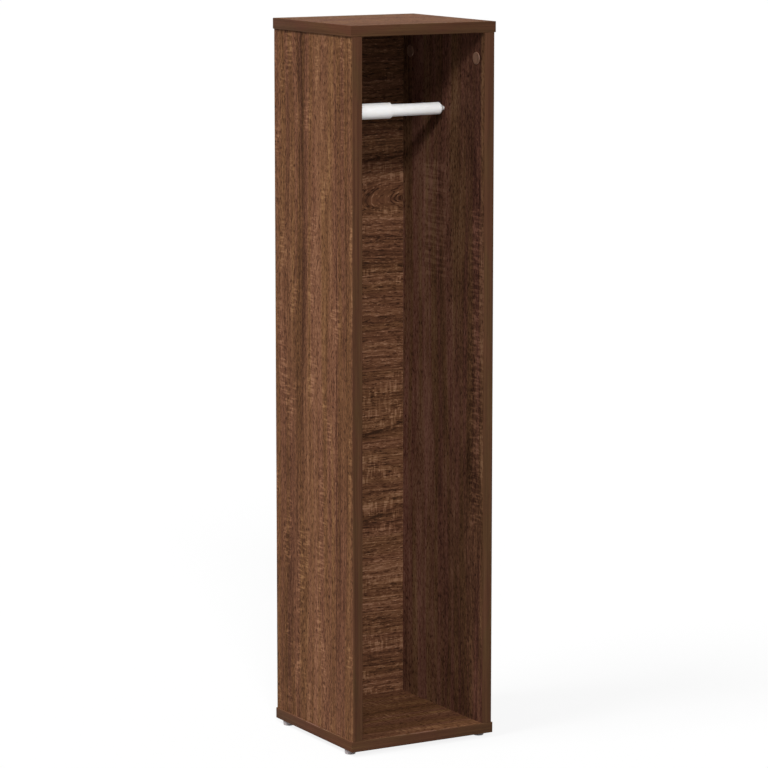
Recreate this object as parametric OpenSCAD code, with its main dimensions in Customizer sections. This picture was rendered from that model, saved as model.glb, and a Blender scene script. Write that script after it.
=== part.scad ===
// Narrow free-standing storage cabinet, open at the front, with a sprung spindle across
// it near its top. X points right, Y to the back and Z up. The origin is on the floor,
// under the middle of the cabinet, and the open front faces -Y. Sizes are in millimetres.

/* [Cabinet] */
// Height from the floor to the top face
cabinet_h = 1000; // [500:5:1400]
// Width over the top and base boards
cabinet_w = 225; // [205:1:320]
// Depth from the front edges to the rear face of the back panel
cabinet_d = 225; // [185:1:320]
// Thickness of the top, base and side boards
board_t = 15; // [14:0.5:22]
// Thickness of the nailed back panel
back_t = 3; // [2:0.5:5]
// How far the top and base stand out past each side board
side_inset = 2; // [0.5:0.5:4]
// How far the back panel's edges stay inside the boards' outer faces
back_inset = 2; // [0.5:0.5:4]

/* [Edge bands] */
// Thickness of the bands glued to the visible edges
band_t = 1; // [0.6:0.1:2]
// Rounding of a band's long outer edges
band_r = 0.9; // [0.2:0.1:2]

/* [Cam fittings] */
// Diameter of a cam housing
cam_d = 15; // [14:0.5:18]
// Wood left behind a cam housing
cam_skin = 3; // [2:0.5:3.5]
// Distance from a side board's top end to the middle of a cam
cam_from_end = 36; // [30:1:40]
// Distance from the front edge to the front cams, and to the front glides
front_setback = 22.5; // [20:0.5:26]
// Distance from the boards' rear edge to the rear cams, and to the rear glides
rear_setback = 20; // [18:0.5:26]
// Diameter of a cam bolt's head
bolt_head_d = 6.4; // [5.6:0.1:6.6]
// Diameter of a cam bolt's neck
bolt_neck_d = 3.4; // [2.6:0.1:4]
// Diameter of a cam bolt's shaft
bolt_shaft_d = 6; // [5:0.1:7]
// Depth that a cam bolt is driven into the top board
bolt_thread_len = 11; // [8:0.5:11.5]
// Diameter of a cam cover cap
cover_d = 17; // [16:0.5:22]
// Thickness of a cam cover cap
cover_t = 1.1; // [0.8:0.1:2]

/* [Dowels] */
// Diameter of a wooden dowel
dowel_d = 8; // [6:0.5:9]
// Length of a wooden dowel
dowel_len = 30; // [24:1:40]
// Part of a dowel that stands in the top board
dowel_in_top = 10; // [7:0.5:10.5]
// Distance between a cam and the dowel beside it
dowel_pitch = 32; // [24:1:40]

/* [Base screws] */
// Length of a screw that holds the base board
screw_len = 50; // [35:1:60]
// Diameter of its threaded part
screw_d = 5; // [4:0.1:6]
// Diameter of its plain neck
screw_neck_d = 7; // [6.2:0.1:7.5]
// Length of its head and plain neck
screw_neck_len = 11; // [8:0.5:13]
// Diameter of its countersunk head
screw_head_d = 10; // [8.4:0.1:11]
// Height of its countersunk head
screw_head_h = 3; // [2:0.1:4]
// Distance between a glide and the screw beside it
screw_pitch = 32; // [24:1:40]

/* [Back panel nails] */
// Length of a nail in the back panel
nail_len = 16; // [10:1:18]
// Diameter of its shank
nail_d = 1.4; // [1:0.1:2]
// Diameter of its flat head
nail_head_d = 3.2; // [2.6:0.1:4]
// Thickness of its flat head
nail_head_t = 0.6; // [0.4:0.1:1]
// Number of nails up each side board
side_nails = 8; // [4:1:14]
// Distance from a side board's end to its first nail
nail_from_end = 60; // [54:1:90]
// Distance from the middle to the nails in the top and base boards
nail_from_middle = 45; // [20:1:70]

/* [Glides] */
// Height of a glide
glide_h = 7; // [4:0.5:12]
// Diameter of a glide
glide_d = 16; // [14:0.5:18]
// Narrowing of a glide from its top to the floor
glide_taper = 0.6; // [0.4:0.1:2]
// Length of a glide's nail under its head
glide_nail_len = 16; // [10:1:16]
// Diameter of a glide's nail
glide_nail_d = 2; // [1.4:0.1:3]
// Diameter of the head of a glide's nail
glide_nail_head_d = 4.6; // [4:0.1:6]
// Thickness of that head
glide_nail_head_t = 0.8; // [0.5:0.1:1]
// Depth of the recess that keeps the head off the floor
glide_recess = 1.6; // [1.2:0.1:2.5]

/* [Spindle] */
// Distance from the top board's underside down to the spindle's axis
spindle_drop = 110; // [70:1:200]
// Distance from the front edges back to the spindle's axis
spindle_setback = 111; // [60:1:130]
// Diameter of the outer sleeve
sleeve_d = 22; // [21:0.5:30]
// Wall of the outer sleeve
sleeve_wall = 1.4; // [1:0.1:1.6]
// Distance from the left board to the sleeve's mouth
sleeve_len = 105; // [75:1:125]
// Length of the lip inside the sleeve's mouth
lip_len = 3; // [2:0.5:6]
// Diameter of the plunger that slides in the sleeve
plunger_d = 17; // [14:0.5:17.5]
// Wall of the plunger
plunger_wall = 1.4; // [1:0.1:1.8]
// Length of the plunger inside the sleeve at rest
plunger_overlap = 30; // [20:1:40]
// Length of the collar on the plunger's inner end
collar_len = 4; // [3:0.5:8]
// Slope of the conical ends, as length over fall in radius
cone_slope = 1.2; // [0.8:0.05:1.6]
// Diameter of the spindle's two tips
tip_d = 5; // [4:0.5:7]
// Length of a tip inside its socket
tip_len = 3; // [2:0.5:5]
// Radial and end clearance between a tip and its socket
socket_gap = 0.4; // [0.3:0.05:0.8]
// Radial clearance of the plunger and its collar in the sleeve
running_gap = 0.1; // [0.03:0.01:0.1]

/* [Spindle spring] */
// Number of turns of the spring
spring_turns = 17; // [8:1:24]
// Diameter of the spring's wire
wire_d = 1; // [0.6:0.1:1.2]
// Outer diameter of the spring
spring_d = 12.6; // [11.5:0.1:13]
// Depth of the pocket in the plunger that takes the spring's end
spring_pocket = 12; // [4:1:18]

/* [Hidden] */
$fn = 48;

// Colours
DECOR = [0.42, 0.29, 0.21];
BAND = [0.33, 0.22, 0.15];
BACK = [0.36, 0.24, 0.17];
ZINC = [0.66, 0.67, 0.69];
STEEL = [0.74, 0.74, 0.76];
COVER = [0.45, 0.31, 0.23];
BEECH = [0.80, 0.66, 0.48];
GLIDE = [0.62, 0.63, 0.64];
WHITE = [0.94, 0.94, 0.93];

// Planes of the carcass
half_w = cabinet_w / 2;
front_y = -cabinet_d / 2;
rear_y = cabinet_d / 2;
board_rear_y = rear_y - back_t;
board_d = board_rear_y - front_y;
base_z = glide_h;
floor_z = base_z + board_t;
ceiling_z = cabinet_h - board_t;
side_h = ceiling_z - floor_z;
side_outer_x = half_w - side_inset;
side_inner_x = side_outer_x - board_t;
side_mid_x = side_outer_x - board_t / 2;

// Clearances and small allowances
fastener_gap = 0.1;
glue_room = 1;
bore_past = 1;
ease = min(band_r, band_t - 0.1);
ease_steps = 4;
dowel_chamfer = 1;

// Places of the fittings along Y
cam_ys = [front_y + front_setback, board_rear_y - rear_setback];
dowel_ys = [cam_ys[0] + dowel_pitch, cam_ys[1] - dowel_pitch];
screw_ys = [cam_ys[0] + screw_pitch, cam_ys[1] - screw_pitch];

// Cam fitting
cam_z = ceiling_z - cam_from_end;
cam_h = board_t - cam_skin;
cam_r = cam_d / 2;
bolt_axis = cam_h - board_t / 2;
chamber_room = 0.2;
chamber_h = bolt_head_d + 2 * chamber_room;
chamber_r = cam_r - 2.3;
cam_offset = 0.9;
cam_turn = 130;
cam_past_bolt = 25;
head_len = 3;
head_cone = 1;
head_drop = 0.5;
neck_slot = bolt_neck_d + 0.8;
drive_len = 9;
drive_w = 2;
drive_depth = 2.4;
bolt_collar_d = bolt_shaft_d + 1.4;
bolt_collar_t = 1.5;
bolt_bore_d = bolt_collar_d + 2 * fastener_gap;
bolt_thread_d = 5;
cover_plug_depth = 2;
cover_bevel = 0.5;

// Top of the bolt's head, which bears on the inside of the cam's wall
head_top = chamber_r - cam_offset - head_drop;

// Dowels
dowel_bore_d = dowel_d + 2 * fastener_gap;
dowel_in_side = dowel_len - dowel_in_top;

// Base screws
screw_point = 4;
hex_key = 4;
hex_depth = 2.6;

// Back panel and nails
back_half_w = side_outer_x - back_inset;
back_z0 = base_z + back_inset;
back_z1 = cabinet_h - back_inset;
nail_point = 2;

// Glides
glide_edge = 0.8;

// Spindle
axis_y = front_y + spindle_setback;
axis_z = ceiling_z - spindle_drop;
socket_d = tip_d + 2 * socket_gap;
socket_depth = tip_len + socket_gap;
cone_gap = 0.6;
tip_edge = 0.7;
shoulder = 0.9;
sleeve_r = sleeve_d / 2;
sleeve_bore_r = sleeve_r - sleeve_wall;
plunger_r = plunger_d / 2;
lip_r = plunger_r + running_gap;
collar_r = sleeve_bore_r - running_gap;
plunger_bore_r = plunger_r - plunger_wall;
sleeve_cone_len = (sleeve_r - shoulder - tip_d / 2) * cone_slope;
plunger_cone_len = (plunger_r - shoulder - tip_d / 2) * cone_slope;
mouth_x = -side_inner_x + sleeve_len;
plunger_in_x = mouth_x - plunger_overlap;
sleeve_floor_x = -side_inner_x + cone_gap + sleeve_cone_len + shoulder + 1.5;
plunger_floor_x = side_inner_x - cone_gap - plunger_cone_len - shoulder - 1.5;
spigot_d = spring_d - 2 * wire_d - 1.2;
spigot_len = 6;
rib_t = 1.2;
rib_reach = 3.4;
ribs = 4;

// Spring
spring_x0 = sleeve_floor_x;
spring_x1 = plunger_in_x + spring_pocket;
spring_len = spring_x1 - spring_x0;
coil_r = (spring_d - wire_d) / 2;
coil_pitch = (spring_len - wire_d) / spring_turns;
wire_sides = 6;
rings_per_turn = 8;

// ---------------------------------------------------------------- helpers

// A block given by its lowest and highest corners
module block(low, high) {
    translate(low) cube(high - low);
}

// Both sides of the cabinet: the children are made for the right and mirrored to the left
module both_sides() {
    children();
    mirror([1, 0, 0]) children();
}

// Children turned so that their Z axis runs along X
module along_x() {
    rotate([0, 90, 0]) children();
}

// Section of an edge band: glued flat at the bottom, its two upper corners rounded
function band_section(width, thickness) = concat(
    [[0, 0], [width, 0]],
    [for (i = [0:ease_steps]) let (a = 90 * i / ease_steps)
        [width - ease + ease * cos(a), thickness - ease + ease * sin(a)]],
    [for (i = [0:ease_steps]) let (a = 90 + 90 * i / ease_steps)
        [ease + ease * cos(a), thickness - ease + ease * sin(a)]]
);

// An edge band of the given length along Z, its outer face towards -Y, starting at the origin
module band(length, width) {
    linear_extrude(length) mirror([0, 1]) polygon(band_section(width, band_t));
}

// ---------------------------------------------------------------- boards

// Top and base boards have the same outline, inside their edge bands
module board_core(z) {
    block([-half_w + band_t, front_y + band_t, z], [half_w - band_t, board_rear_y, z + board_t]);
}

module top_panel() {
    color(DECOR) difference() {
        board_core(ceiling_z);
        both_sides() {
            for (y = cam_ys) translate([side_mid_x, y, ceiling_z - bore_past])
                cylinder(d = bolt_thread_d + 2 * fastener_gap, h = bolt_thread_len + bore_past + 0.5);
            for (y = dowel_ys) translate([side_mid_x, y, ceiling_z - bore_past])
                cylinder(d = dowel_bore_d, h = dowel_in_top + bore_past + glue_room);
        }
        nail_bores();
    }
}

module base_panel() {
    color(DECOR) difference() {
        board_core(base_z);
        both_sides() {
            for (y = screw_ys) translate([side_mid_x, y, base_z]) screw_bore();
            for (y = cam_ys) translate([side_mid_x, y, base_z - bore_past])
                cylinder(d = glide_nail_d + 2 * fastener_gap,
                         h = glide_recess + glide_nail_len - glide_h + bore_past + 0.5);
        }
        nail_bores();
    }
}

// Right-hand side board, with its bores for fittings and the spindle's socket
module side_panel() {
    difference() {
        block([side_inner_x, front_y + band_t, floor_z], [side_outer_x, board_rear_y, ceiling_z]);
        for (y = cam_ys) {
            translate([side_inner_x - bore_past, y, cam_z]) along_x()
                cylinder(d = cam_d + 2 * fastener_gap, h = cam_h + bore_past);
            translate([side_mid_x, y, cam_z])
                cylinder(d = bolt_bore_d, h = cam_from_end + bore_past);
        }
        for (y = dowel_ys) translate([side_mid_x, y, ceiling_z - dowel_in_side])
            cylinder(d = dowel_bore_d, h = dowel_in_side + bore_past);
        for (y = screw_ys) translate([side_mid_x, y, floor_z - bore_past])
            cylinder(d = screw_d + 2 * fastener_gap,
                     h = screw_len - board_t + bore_past + glue_room);
        translate([side_inner_x - bore_past, axis_y, axis_z]) along_x()
            cylinder(d = socket_d, h = socket_depth + bore_past);
        nail_bores();
    }
}

module right_side_panel() {
    color(DECOR) side_panel();
}

module left_side_panel() {
    color(DECOR) mirror([1, 0, 0]) side_panel();
}

module back_panel() {
    color(BACK) difference() {
        block([-back_half_w, board_rear_y, back_z0], [back_half_w, rear_y, back_z1]);
        nail_bores();
    }
}

// ---------------------------------------------------------------- edge bands

// Front band of the top or base board, over the full width
module front_band(z) {
    translate([-half_w, front_y + band_t, z]) rotate([90, 0, 90])
        linear_extrude(cabinet_w) rotate(90) polygon(band_section(board_t, band_t));
}

// Band on the right-hand edge of the top or base board, behind the front band
module end_band(z) {
    translate([half_w - band_t, front_y + band_t, z]) rotate([-90, 0, 0]) rotate(-90)
        linear_extrude(board_d - band_t) polygon(band_section(board_t, band_t));
}

// Band on the front edge of the right-hand side board
module side_band() {
    translate([side_inner_x, front_y + band_t, floor_z]) band(side_h, board_t);
}

module top_front_edge_band() {
    color(BAND) front_band(ceiling_z);
}

module top_right_edge_band() {
    color(BAND) end_band(ceiling_z);
}

module top_left_edge_band() {
    color(BAND) mirror([1, 0, 0]) end_band(ceiling_z);
}

module base_front_edge_band() {
    color(BAND) front_band(base_z);
}

module base_right_edge_band() {
    color(BAND) end_band(base_z);
}

module base_left_edge_band() {
    color(BAND) mirror([1, 0, 0]) end_band(base_z);
}

module right_side_edge_band() {
    color(BAND) side_band();
}

module left_side_edge_band() {
    color(BAND) mirror([1, 0, 0]) side_band();
}

// ---------------------------------------------------------------- cam fittings

// Cross that a screwdriver turns, cut from or filled into a housing's face
module drive_cross(length, width, height) {
    for (turn = [0, 90]) rotate(turn)
        translate([-length / 2, -width / 2, 0]) cube([length, width, height]);
}

// Cam housing standing on the bottom of its bore, locked round a bolt that comes from +X.
// The chamber for the bolt's head is eccentric, so its wall draws the head in as it turns.
// The neck runs in a slot round the wall, and the head entered at the slot's far end.
module cam_housing() {
    difference() {
        cylinder(r = cam_r, h = cam_h - fastener_gap);
        translate([-cam_offset, 0, bolt_axis - chamber_h / 2])
            cylinder(r = chamber_r, h = chamber_h);
        translate([0, 0, bolt_axis]) rotate(-cam_past_bolt) rotate_extrude(angle = cam_turn)
            translate([1, -neck_slot / 2]) square([cam_r, neck_slot]);
        translate([0, 0, bolt_axis]) rotate(cam_turn - cam_past_bolt) along_x()
            cylinder(d = chamber_h, h = cam_r + bore_past);
        translate([0, 0, cam_h - fastener_gap - drive_depth])
            drive_cross(drive_len, drive_w, drive_depth + bore_past);
    }
}

module cam_housings() {
    color(ZINC) both_sides() for (y = cam_ys)
        translate([side_inner_x + cam_h, y, cam_z]) rotate([0, -90, 0]) cam_housing();
}

// Bolt driven into the top board, with its head in the middle of the cam
module cam_bolt() {
    head_r = bolt_head_d / 2;
    rotate_extrude() polygon([
        [0, head_top - head_len],
        [head_r - 0.8, head_top - head_len],
        [head_r, head_top - head_len + 0.8],
        [head_r, head_top - head_cone],
        [bolt_neck_d / 2, head_top],
        [bolt_neck_d / 2, cam_r + 0.8],
        [bolt_shaft_d / 2, cam_r + 2],
        [bolt_shaft_d / 2, cam_from_end - bolt_collar_t],
        [bolt_collar_d / 2, cam_from_end - bolt_collar_t],
        [bolt_collar_d / 2, cam_from_end],
        [bolt_thread_d / 2, cam_from_end],
        [bolt_thread_d / 2, cam_from_end + bolt_thread_len - 1],
        [bolt_thread_d / 2 - 1, cam_from_end + bolt_thread_len],
        [0, cam_from_end + bolt_thread_len]
    ]);
}

module cam_bolts() {
    color(STEEL) both_sides() for (y = cam_ys) translate([side_mid_x, y, cam_z]) cam_bolt();
}

// Cap with bevelled rim, held by a cross-shaped plug in the housing's drive
module cam_cover() {
    rotate_extrude() polygon([
        [0, 0], [cover_d / 2, 0], [cover_d / 2, cover_t - cover_bevel],
        [cover_d / 2 - cover_bevel, cover_t], [0, cover_t]
    ]);
    translate([0, 0, -cover_plug_depth])
        drive_cross(drive_len - 2 * fastener_gap, drive_w - 2 * fastener_gap, cover_plug_depth + 0.2);
}

module cam_covers() {
    color(COVER) both_sides() for (y = cam_ys)
        translate([side_inner_x, y, cam_z]) rotate([0, -90, 0]) cam_cover();
}

// ---------------------------------------------------------------- dowels, screws and nails

module top_dowels() {
    color(BEECH) both_sides() for (y = dowel_ys)
        translate([side_mid_x, y, ceiling_z - dowel_in_side]) rotate_extrude() polygon([
            [0, 0], [dowel_d / 2 - dowel_chamfer, 0], [dowel_d / 2, dowel_chamfer],
            [dowel_d / 2, dowel_len - dowel_chamfer],
            [dowel_d / 2 - dowel_chamfer, dowel_len], [0, dowel_len]
        ]);
}

// Outline of a base screw, from the axis out, with a gap all round for its bore
function screw_outline(gap) = [
    [0, 0],
    [screw_head_d / 2 + gap, 0],
    [screw_neck_d / 2 + gap, screw_head_h],
    [screw_neck_d / 2 + gap, screw_neck_len]
];

// Bore through the base board that the screw's head and neck seat in
module screw_bore() {
    rotate_extrude() polygon(concat(
        [[0, -bore_past], [screw_head_d / 2 + fastener_gap, -bore_past]],
        [for (p = screw_outline(fastener_gap)) if (p[0] > 0) p],
        [[screw_neck_d / 2 + fastener_gap, board_t + bore_past], [0, board_t + bore_past]]
    ));
}

module base_screws() {
    color(STEEL) both_sides() for (y = screw_ys) translate([side_mid_x, y, base_z])
        difference() {
            rotate_extrude() polygon(concat(
                screw_outline(0),
                [
                    [screw_d / 2, screw_neck_len + 1],
                    [screw_d / 2, screw_len - screw_point],
                    [0.6, screw_len],
                    [0, screw_len]
                ]
            ));
            translate([0, 0, -bore_past])
                cylinder(d = hex_key / cos(30), h = hex_depth + bore_past, $fn = 6);
        }
}

// Places of the back panel's nails as [x, z]: up both side boards, and along top and base
side_nail_step = (side_h - 2 * nail_from_end) / (side_nails - 1);
nail_places = concat(
    [for (x = [-side_mid_x, side_mid_x]) for (i = [0:side_nails - 1])
        [x, floor_z + nail_from_end + i * side_nail_step]],
    [for (x = [-nail_from_middle, nail_from_middle])
        for (z = [base_z + board_t / 2, ceiling_z + board_t / 2]) [x, z]]
);

// A nail driven towards -Y from the rear face, its head flush. A gap all round and a
// start past the face make it the nail's bore.
module nail(gap = 0, past = 0) {
    rotate([90, 0, 0]) rotate_extrude($fn = 16) polygon([
        [0, -past], [nail_head_d / 2 + gap, -past], [nail_head_d / 2 + gap, nail_head_t],
        [nail_d / 2 + gap, nail_head_t], [nail_d / 2 + gap, nail_len - nail_point + gap],
        [0.2 + gap, nail_len + gap], [0, nail_len + gap]
    ]);
}

module at_nails() {
    for (p = nail_places) translate([p[0], rear_y, p[1]]) children();
}

module nail_bores() {
    at_nails() nail(fastener_gap, bore_past);
}

module back_panel_nails() {
    color(STEEL) at_nails() nail();
}

// ---------------------------------------------------------------- glides

// Round glide with a rounded rim at the floor, bored and recessed for its nail
module glide() {
    top_r = glide_d / 2;
    foot_r = top_r - glide_taper;
    hole_r = glide_nail_d / 2 + fastener_gap;
    recess_r = glide_nail_head_d / 2 + 0.3;
    rotate_extrude() polygon(concat(
        [[recess_r, 0]],
        [for (i = [0:ease_steps]) let (a = -90 + 90 * i / ease_steps)
            [foot_r - glide_edge + glide_edge * cos(a), glide_edge + glide_edge * sin(a)]],
        [[top_r, glide_h - 1.2], [top_r, glide_h], [hole_r, glide_h],
         [hole_r, glide_recess], [recess_r, glide_recess]]
    ));
}

module front_right_glide() {
    color(GLIDE) translate([side_mid_x, cam_ys[0], 0]) glide();
}

module front_left_glide() {
    color(GLIDE) translate([-side_mid_x, cam_ys[0], 0]) glide();
}

module rear_right_glide() {
    color(GLIDE) translate([side_mid_x, cam_ys[1], 0]) glide();
}

module rear_left_glide() {
    color(GLIDE) translate([-side_mid_x, cam_ys[1], 0]) glide();
}

module glide_nails() {
    shank_r = glide_nail_d / 2;
    head_r = glide_nail_head_d / 2;
    color(STEEL) both_sides() for (y = cam_ys)
        translate([side_mid_x, y, glide_recess]) rotate_extrude($fn = 24) polygon([
            [0, -glide_nail_head_t], [head_r - 0.3, -glide_nail_head_t],
            [head_r, 0.3 - glide_nail_head_t], [head_r, 0],
            [shank_r, 0], [shank_r, glide_nail_len - 2],
            [0.3, glide_nail_len], [0, glide_nail_len]
        ]);
}

// ---------------------------------------------------------------- spindle

// Outer line of a spindle's conical end, as [radius, distance from the board's face]
function cone_line(radius, cone_len) = [
    [0, -tip_len],
    [tip_d / 2 - tip_edge, -tip_len],
    [tip_d / 2, tip_edge - tip_len],
    [tip_d / 2, cone_gap],
    [radius - shoulder, cone_gap + cone_len],
    [radius - 0.3 * shoulder, cone_gap + cone_len + 0.4 * shoulder],
    [radius, cone_gap + cone_len + shoulder]
];

// Children along the spindle's axis, with their Z axis along X from the cabinet's middle
module on_spindle_axis() {
    translate([0, axis_y, axis_z]) along_x() children();
}

// Sleeve: closed conical end on the left, a lip inside its mouth, a spigot for the spring
module spindle_sleeve() {
    color(WHITE) on_spindle_axis() {
        rotate_extrude($fn = 64) polygon(concat(
            [for (p = cone_line(sleeve_r, sleeve_cone_len)) [p[0], p[1] - side_inner_x]],
            [
                [sleeve_r, mouth_x - 0.6],
                [sleeve_r - 0.6, mouth_x],
                [lip_r, mouth_x],
                [lip_r, mouth_x - lip_len],
                [sleeve_bore_r, mouth_x - lip_len - (sleeve_bore_r - lip_r)],
                [sleeve_bore_r, sleeve_floor_x],
                [spigot_d / 2, sleeve_floor_x],
                [spigot_d / 2, sleeve_floor_x + spigot_len - 1],
                [spigot_d / 2 - 1, sleeve_floor_x + spigot_len],
                [0, sleeve_floor_x + spigot_len]
            ]
        ));
    }
}

// Plunger: closed conical end on the right, a collar that the sleeve's lip holds back,
// and ribs in its bore whose ends seat the spring
module spindle_plunger() {
    rib_start = plunger_in_x + spring_pocket;
    color(WHITE) on_spindle_axis() {
        rotate_extrude($fn = 64) polygon(concat(
            [for (p = cone_line(plunger_r, plunger_cone_len)) [p[0], side_inner_x - p[1]]],
            [
                [plunger_r, plunger_in_x + collar_len + (collar_r - plunger_r)],
                [collar_r, plunger_in_x + collar_len],
                [collar_r, plunger_in_x],
                [plunger_bore_r, plunger_in_x],
                [plunger_bore_r, plunger_floor_x],
                [0, plunger_floor_x]
            ]
        ));
        for (i = [0:ribs - 1]) rotate(360 * i / ribs)
            block([plunger_bore_r - rib_reach, -rib_t / 2, rib_start],
                  [plunger_bore_r + plunger_wall / 2, rib_t / 2, plunger_floor_x + 0.5]);
    }
}

// Middle line of the spring's wire, from the sleeve's floor to the plunger's ribs
spring_points = [
    for (i = [0:spring_turns * rings_per_turn])
        let (a = 360 * i / rings_per_turn)
        [coil_r * cos(a), coil_r * sin(a), spring_x0 + wire_d / 2 + coil_pitch * a / 360]
];

// Least distance between two turns of the wire, face to face
spring_gap = min([
    for (i = [0:len(spring_points) - 1 - rings_per_turn / 2])
        for (j = [i + rings_per_turn / 2:len(spring_points) - 1])
            norm(spring_points[j] - spring_points[i])
]) - wire_d;
echo(spring_least_gap = spring_gap);

// One ring of points round the wire, square to its run
function wire_ring(point, angle) =
    let (
        outward = [cos(angle), sin(angle), 0],
        run = [-coil_r * sin(angle), coil_r * cos(angle), coil_pitch / (2 * PI)],
        tangent = run / norm(run),
        across = cross(tangent, outward)
    )
    [for (k = [0:wire_sides - 1]) let (b = 360 * k / wire_sides)
        point + wire_d / 2 * (cos(b) * outward + sin(b) * across)];

module spindle_spring() {
    rings = len(spring_points);
    points = [
        for (i = [0:rings - 1])
            for (p = wire_ring(spring_points[i], 360 * i / rings_per_turn)) p
    ];
    skin = [
        for (i = [0:rings - 2]) for (k = [0:wire_sides - 1])
            let (
                a = i * wire_sides + k,
                b = i * wire_sides + (k + 1) % wire_sides,
                c = b + wire_sides,
                d = a + wire_sides
            )
            each [[a, b, c], [a, c, d]]
    ];
    caps = [
        for (k = [1:wire_sides - 2]) each [
            [0, k + 1, k],
            [(rings - 1) * wire_sides, (rings - 1) * wire_sides + k,
             (rings - 1) * wire_sides + k + 1]
        ]
    ];
    color(STEEL) on_spindle_axis() polyhedron(points, concat(skin, caps));
}

// ---------------------------------------------------------------- the cabinet

top_panel();
base_panel();
left_side_panel();
right_side_panel();
back_panel();
top_front_edge_band();
top_left_edge_band();
top_right_edge_band();
base_front_edge_band();
base_left_edge_band();
base_right_edge_band();
left_side_edge_band();
right_side_edge_band();
cam_housings();
cam_bolts();
cam_covers();
top_dowels();
base_screws();
back_panel_nails();
front_left_glide();
front_right_glide();
rear_left_glide();
rear_right_glide();
glide_nails();
spindle_sleeve();
spindle_plunger();
spindle_spring();
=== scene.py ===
"""Looks of a narrow, open-fronted cabinet in dark oak decor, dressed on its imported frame.

Each sub-assembly is a class that holds its sizes in millimetres, each finish is a frozen
dataclass, and every place comes from the frame's own nodes.
"""
import logging
import math
from collections.abc import Callable, Iterator
from contextlib import contextmanager
from dataclasses import dataclass, field, replace
from enum import Enum
from itertools import pairwise, product
from typing import Any, ClassVar

import bmesh
import bpy
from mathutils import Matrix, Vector


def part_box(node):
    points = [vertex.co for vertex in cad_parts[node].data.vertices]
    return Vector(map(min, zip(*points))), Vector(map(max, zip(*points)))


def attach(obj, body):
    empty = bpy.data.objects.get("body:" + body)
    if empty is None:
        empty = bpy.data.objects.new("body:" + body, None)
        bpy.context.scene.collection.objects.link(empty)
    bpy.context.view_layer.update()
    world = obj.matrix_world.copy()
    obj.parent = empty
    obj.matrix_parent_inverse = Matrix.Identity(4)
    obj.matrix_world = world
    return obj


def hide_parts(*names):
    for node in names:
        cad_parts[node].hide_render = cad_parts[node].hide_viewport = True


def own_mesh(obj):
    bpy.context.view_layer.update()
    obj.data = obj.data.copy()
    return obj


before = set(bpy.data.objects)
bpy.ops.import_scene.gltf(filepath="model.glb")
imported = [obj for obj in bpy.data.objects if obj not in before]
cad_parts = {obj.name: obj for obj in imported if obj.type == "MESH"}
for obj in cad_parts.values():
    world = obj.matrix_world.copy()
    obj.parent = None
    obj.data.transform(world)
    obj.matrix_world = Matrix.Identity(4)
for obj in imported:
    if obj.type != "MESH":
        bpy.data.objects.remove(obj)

MM = 0.001
# Places nearer than this to each other count as one.
NEAR = 0.01 * MM
CABINET = "cabinet"
SLEEVE_BODY = "spindle_sleeve"
PLUNGER_BODY = "spindle_plunger"
WHITE = "fdfdfd"
# Values that a noise texture hardly ever leaves, and those that it mostly keeps within.
NOISE_REACH = (0.25, 0.75)
NOISE_USUAL = (0.3, 0.7)
log = logging.getLogger("cabinet")

Tree = bpy.types.NodeTree
Node = bpy.types.Node
Socket = bpy.types.NodeSocket
Piece = bpy.types.Object
Material = bpy.types.Material
Outline = list[tuple[float, float]]
Turn = tuple[float, float, float]
UNTURNED: Turn = (0.0, 0.0, 0.0)
# Radius of the field in the middle of a flat turned end, as a share of the end's.
HUB = 0.3


# ------------------------------------------------------------------ colours and nodes


def linear(hex_colour: str) -> tuple[float, float, float, float]:
    """Turns an sRGB hex colour into the linear colour that a shader takes.

    Args:
        hex_colour: Six hex digits, such as "68462f".

    Returns:
        Linear red, green and blue, and an alpha of 1.
    """
    parts = [int(hex_colour[i : i + 2], 16) / 255 for i in (0, 2, 4)]
    red, green, blue = (
        part / 12.92 if part <= 0.04045 else ((part + 0.055) / 1.055) ** 2.4 for part in parts
    )
    return red, green, blue, 1.0


def add_node(
    tree: Tree,
    kind: str,
    settings: dict[str, Any] | None = None,
    inputs: dict[str | int, Any] | None = None,
) -> Node:
    """Adds a shader node with its settings, values and links.

    Args:
        tree: The node tree that takes the node.
        kind: The node's type, without its "ShaderNode" start.
        settings: Attributes of the node by name.
        inputs: Values, or sockets to link from, by the input's name or number.

    Returns:
        The new node.
    """
    node = tree.nodes.new("ShaderNode" + kind)
    for name, value in (settings or {}).items():
        setattr(node, name, value)
    for name, value in (inputs or {}).items():
        if isinstance(value, Socket):
            tree.links.new(value, node.inputs[name])
        else:
            node.inputs[name].default_value = value
    return node


def start_material(name: str) -> tuple[Material, Tree]:
    """Makes a material with an empty node tree.

    Args:
        name: The finish's common name.

    Returns:
        The material and its node tree.
    """
    material = bpy.data.materials.new(name)
    material.use_nodes = True
    material.node_tree.nodes.clear()
    return material, material.node_tree


def set_ramp(ramp: bpy.types.ColorRamp, stops: list[tuple[float, str]]) -> None:
    """Gives a colour ramp its stops.

    Args:
        ramp: The ramp of a Color Ramp node.
        stops: Position and sRGB hex colour of each stop, from low to high.
    """
    while len(ramp.elements) < len(stops):
        ramp.elements.new(1.0)
    for element, (position, colour) in zip(ramp.elements, stops, strict=True):
        element.position = position
        element.color = linear(colour)


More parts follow.
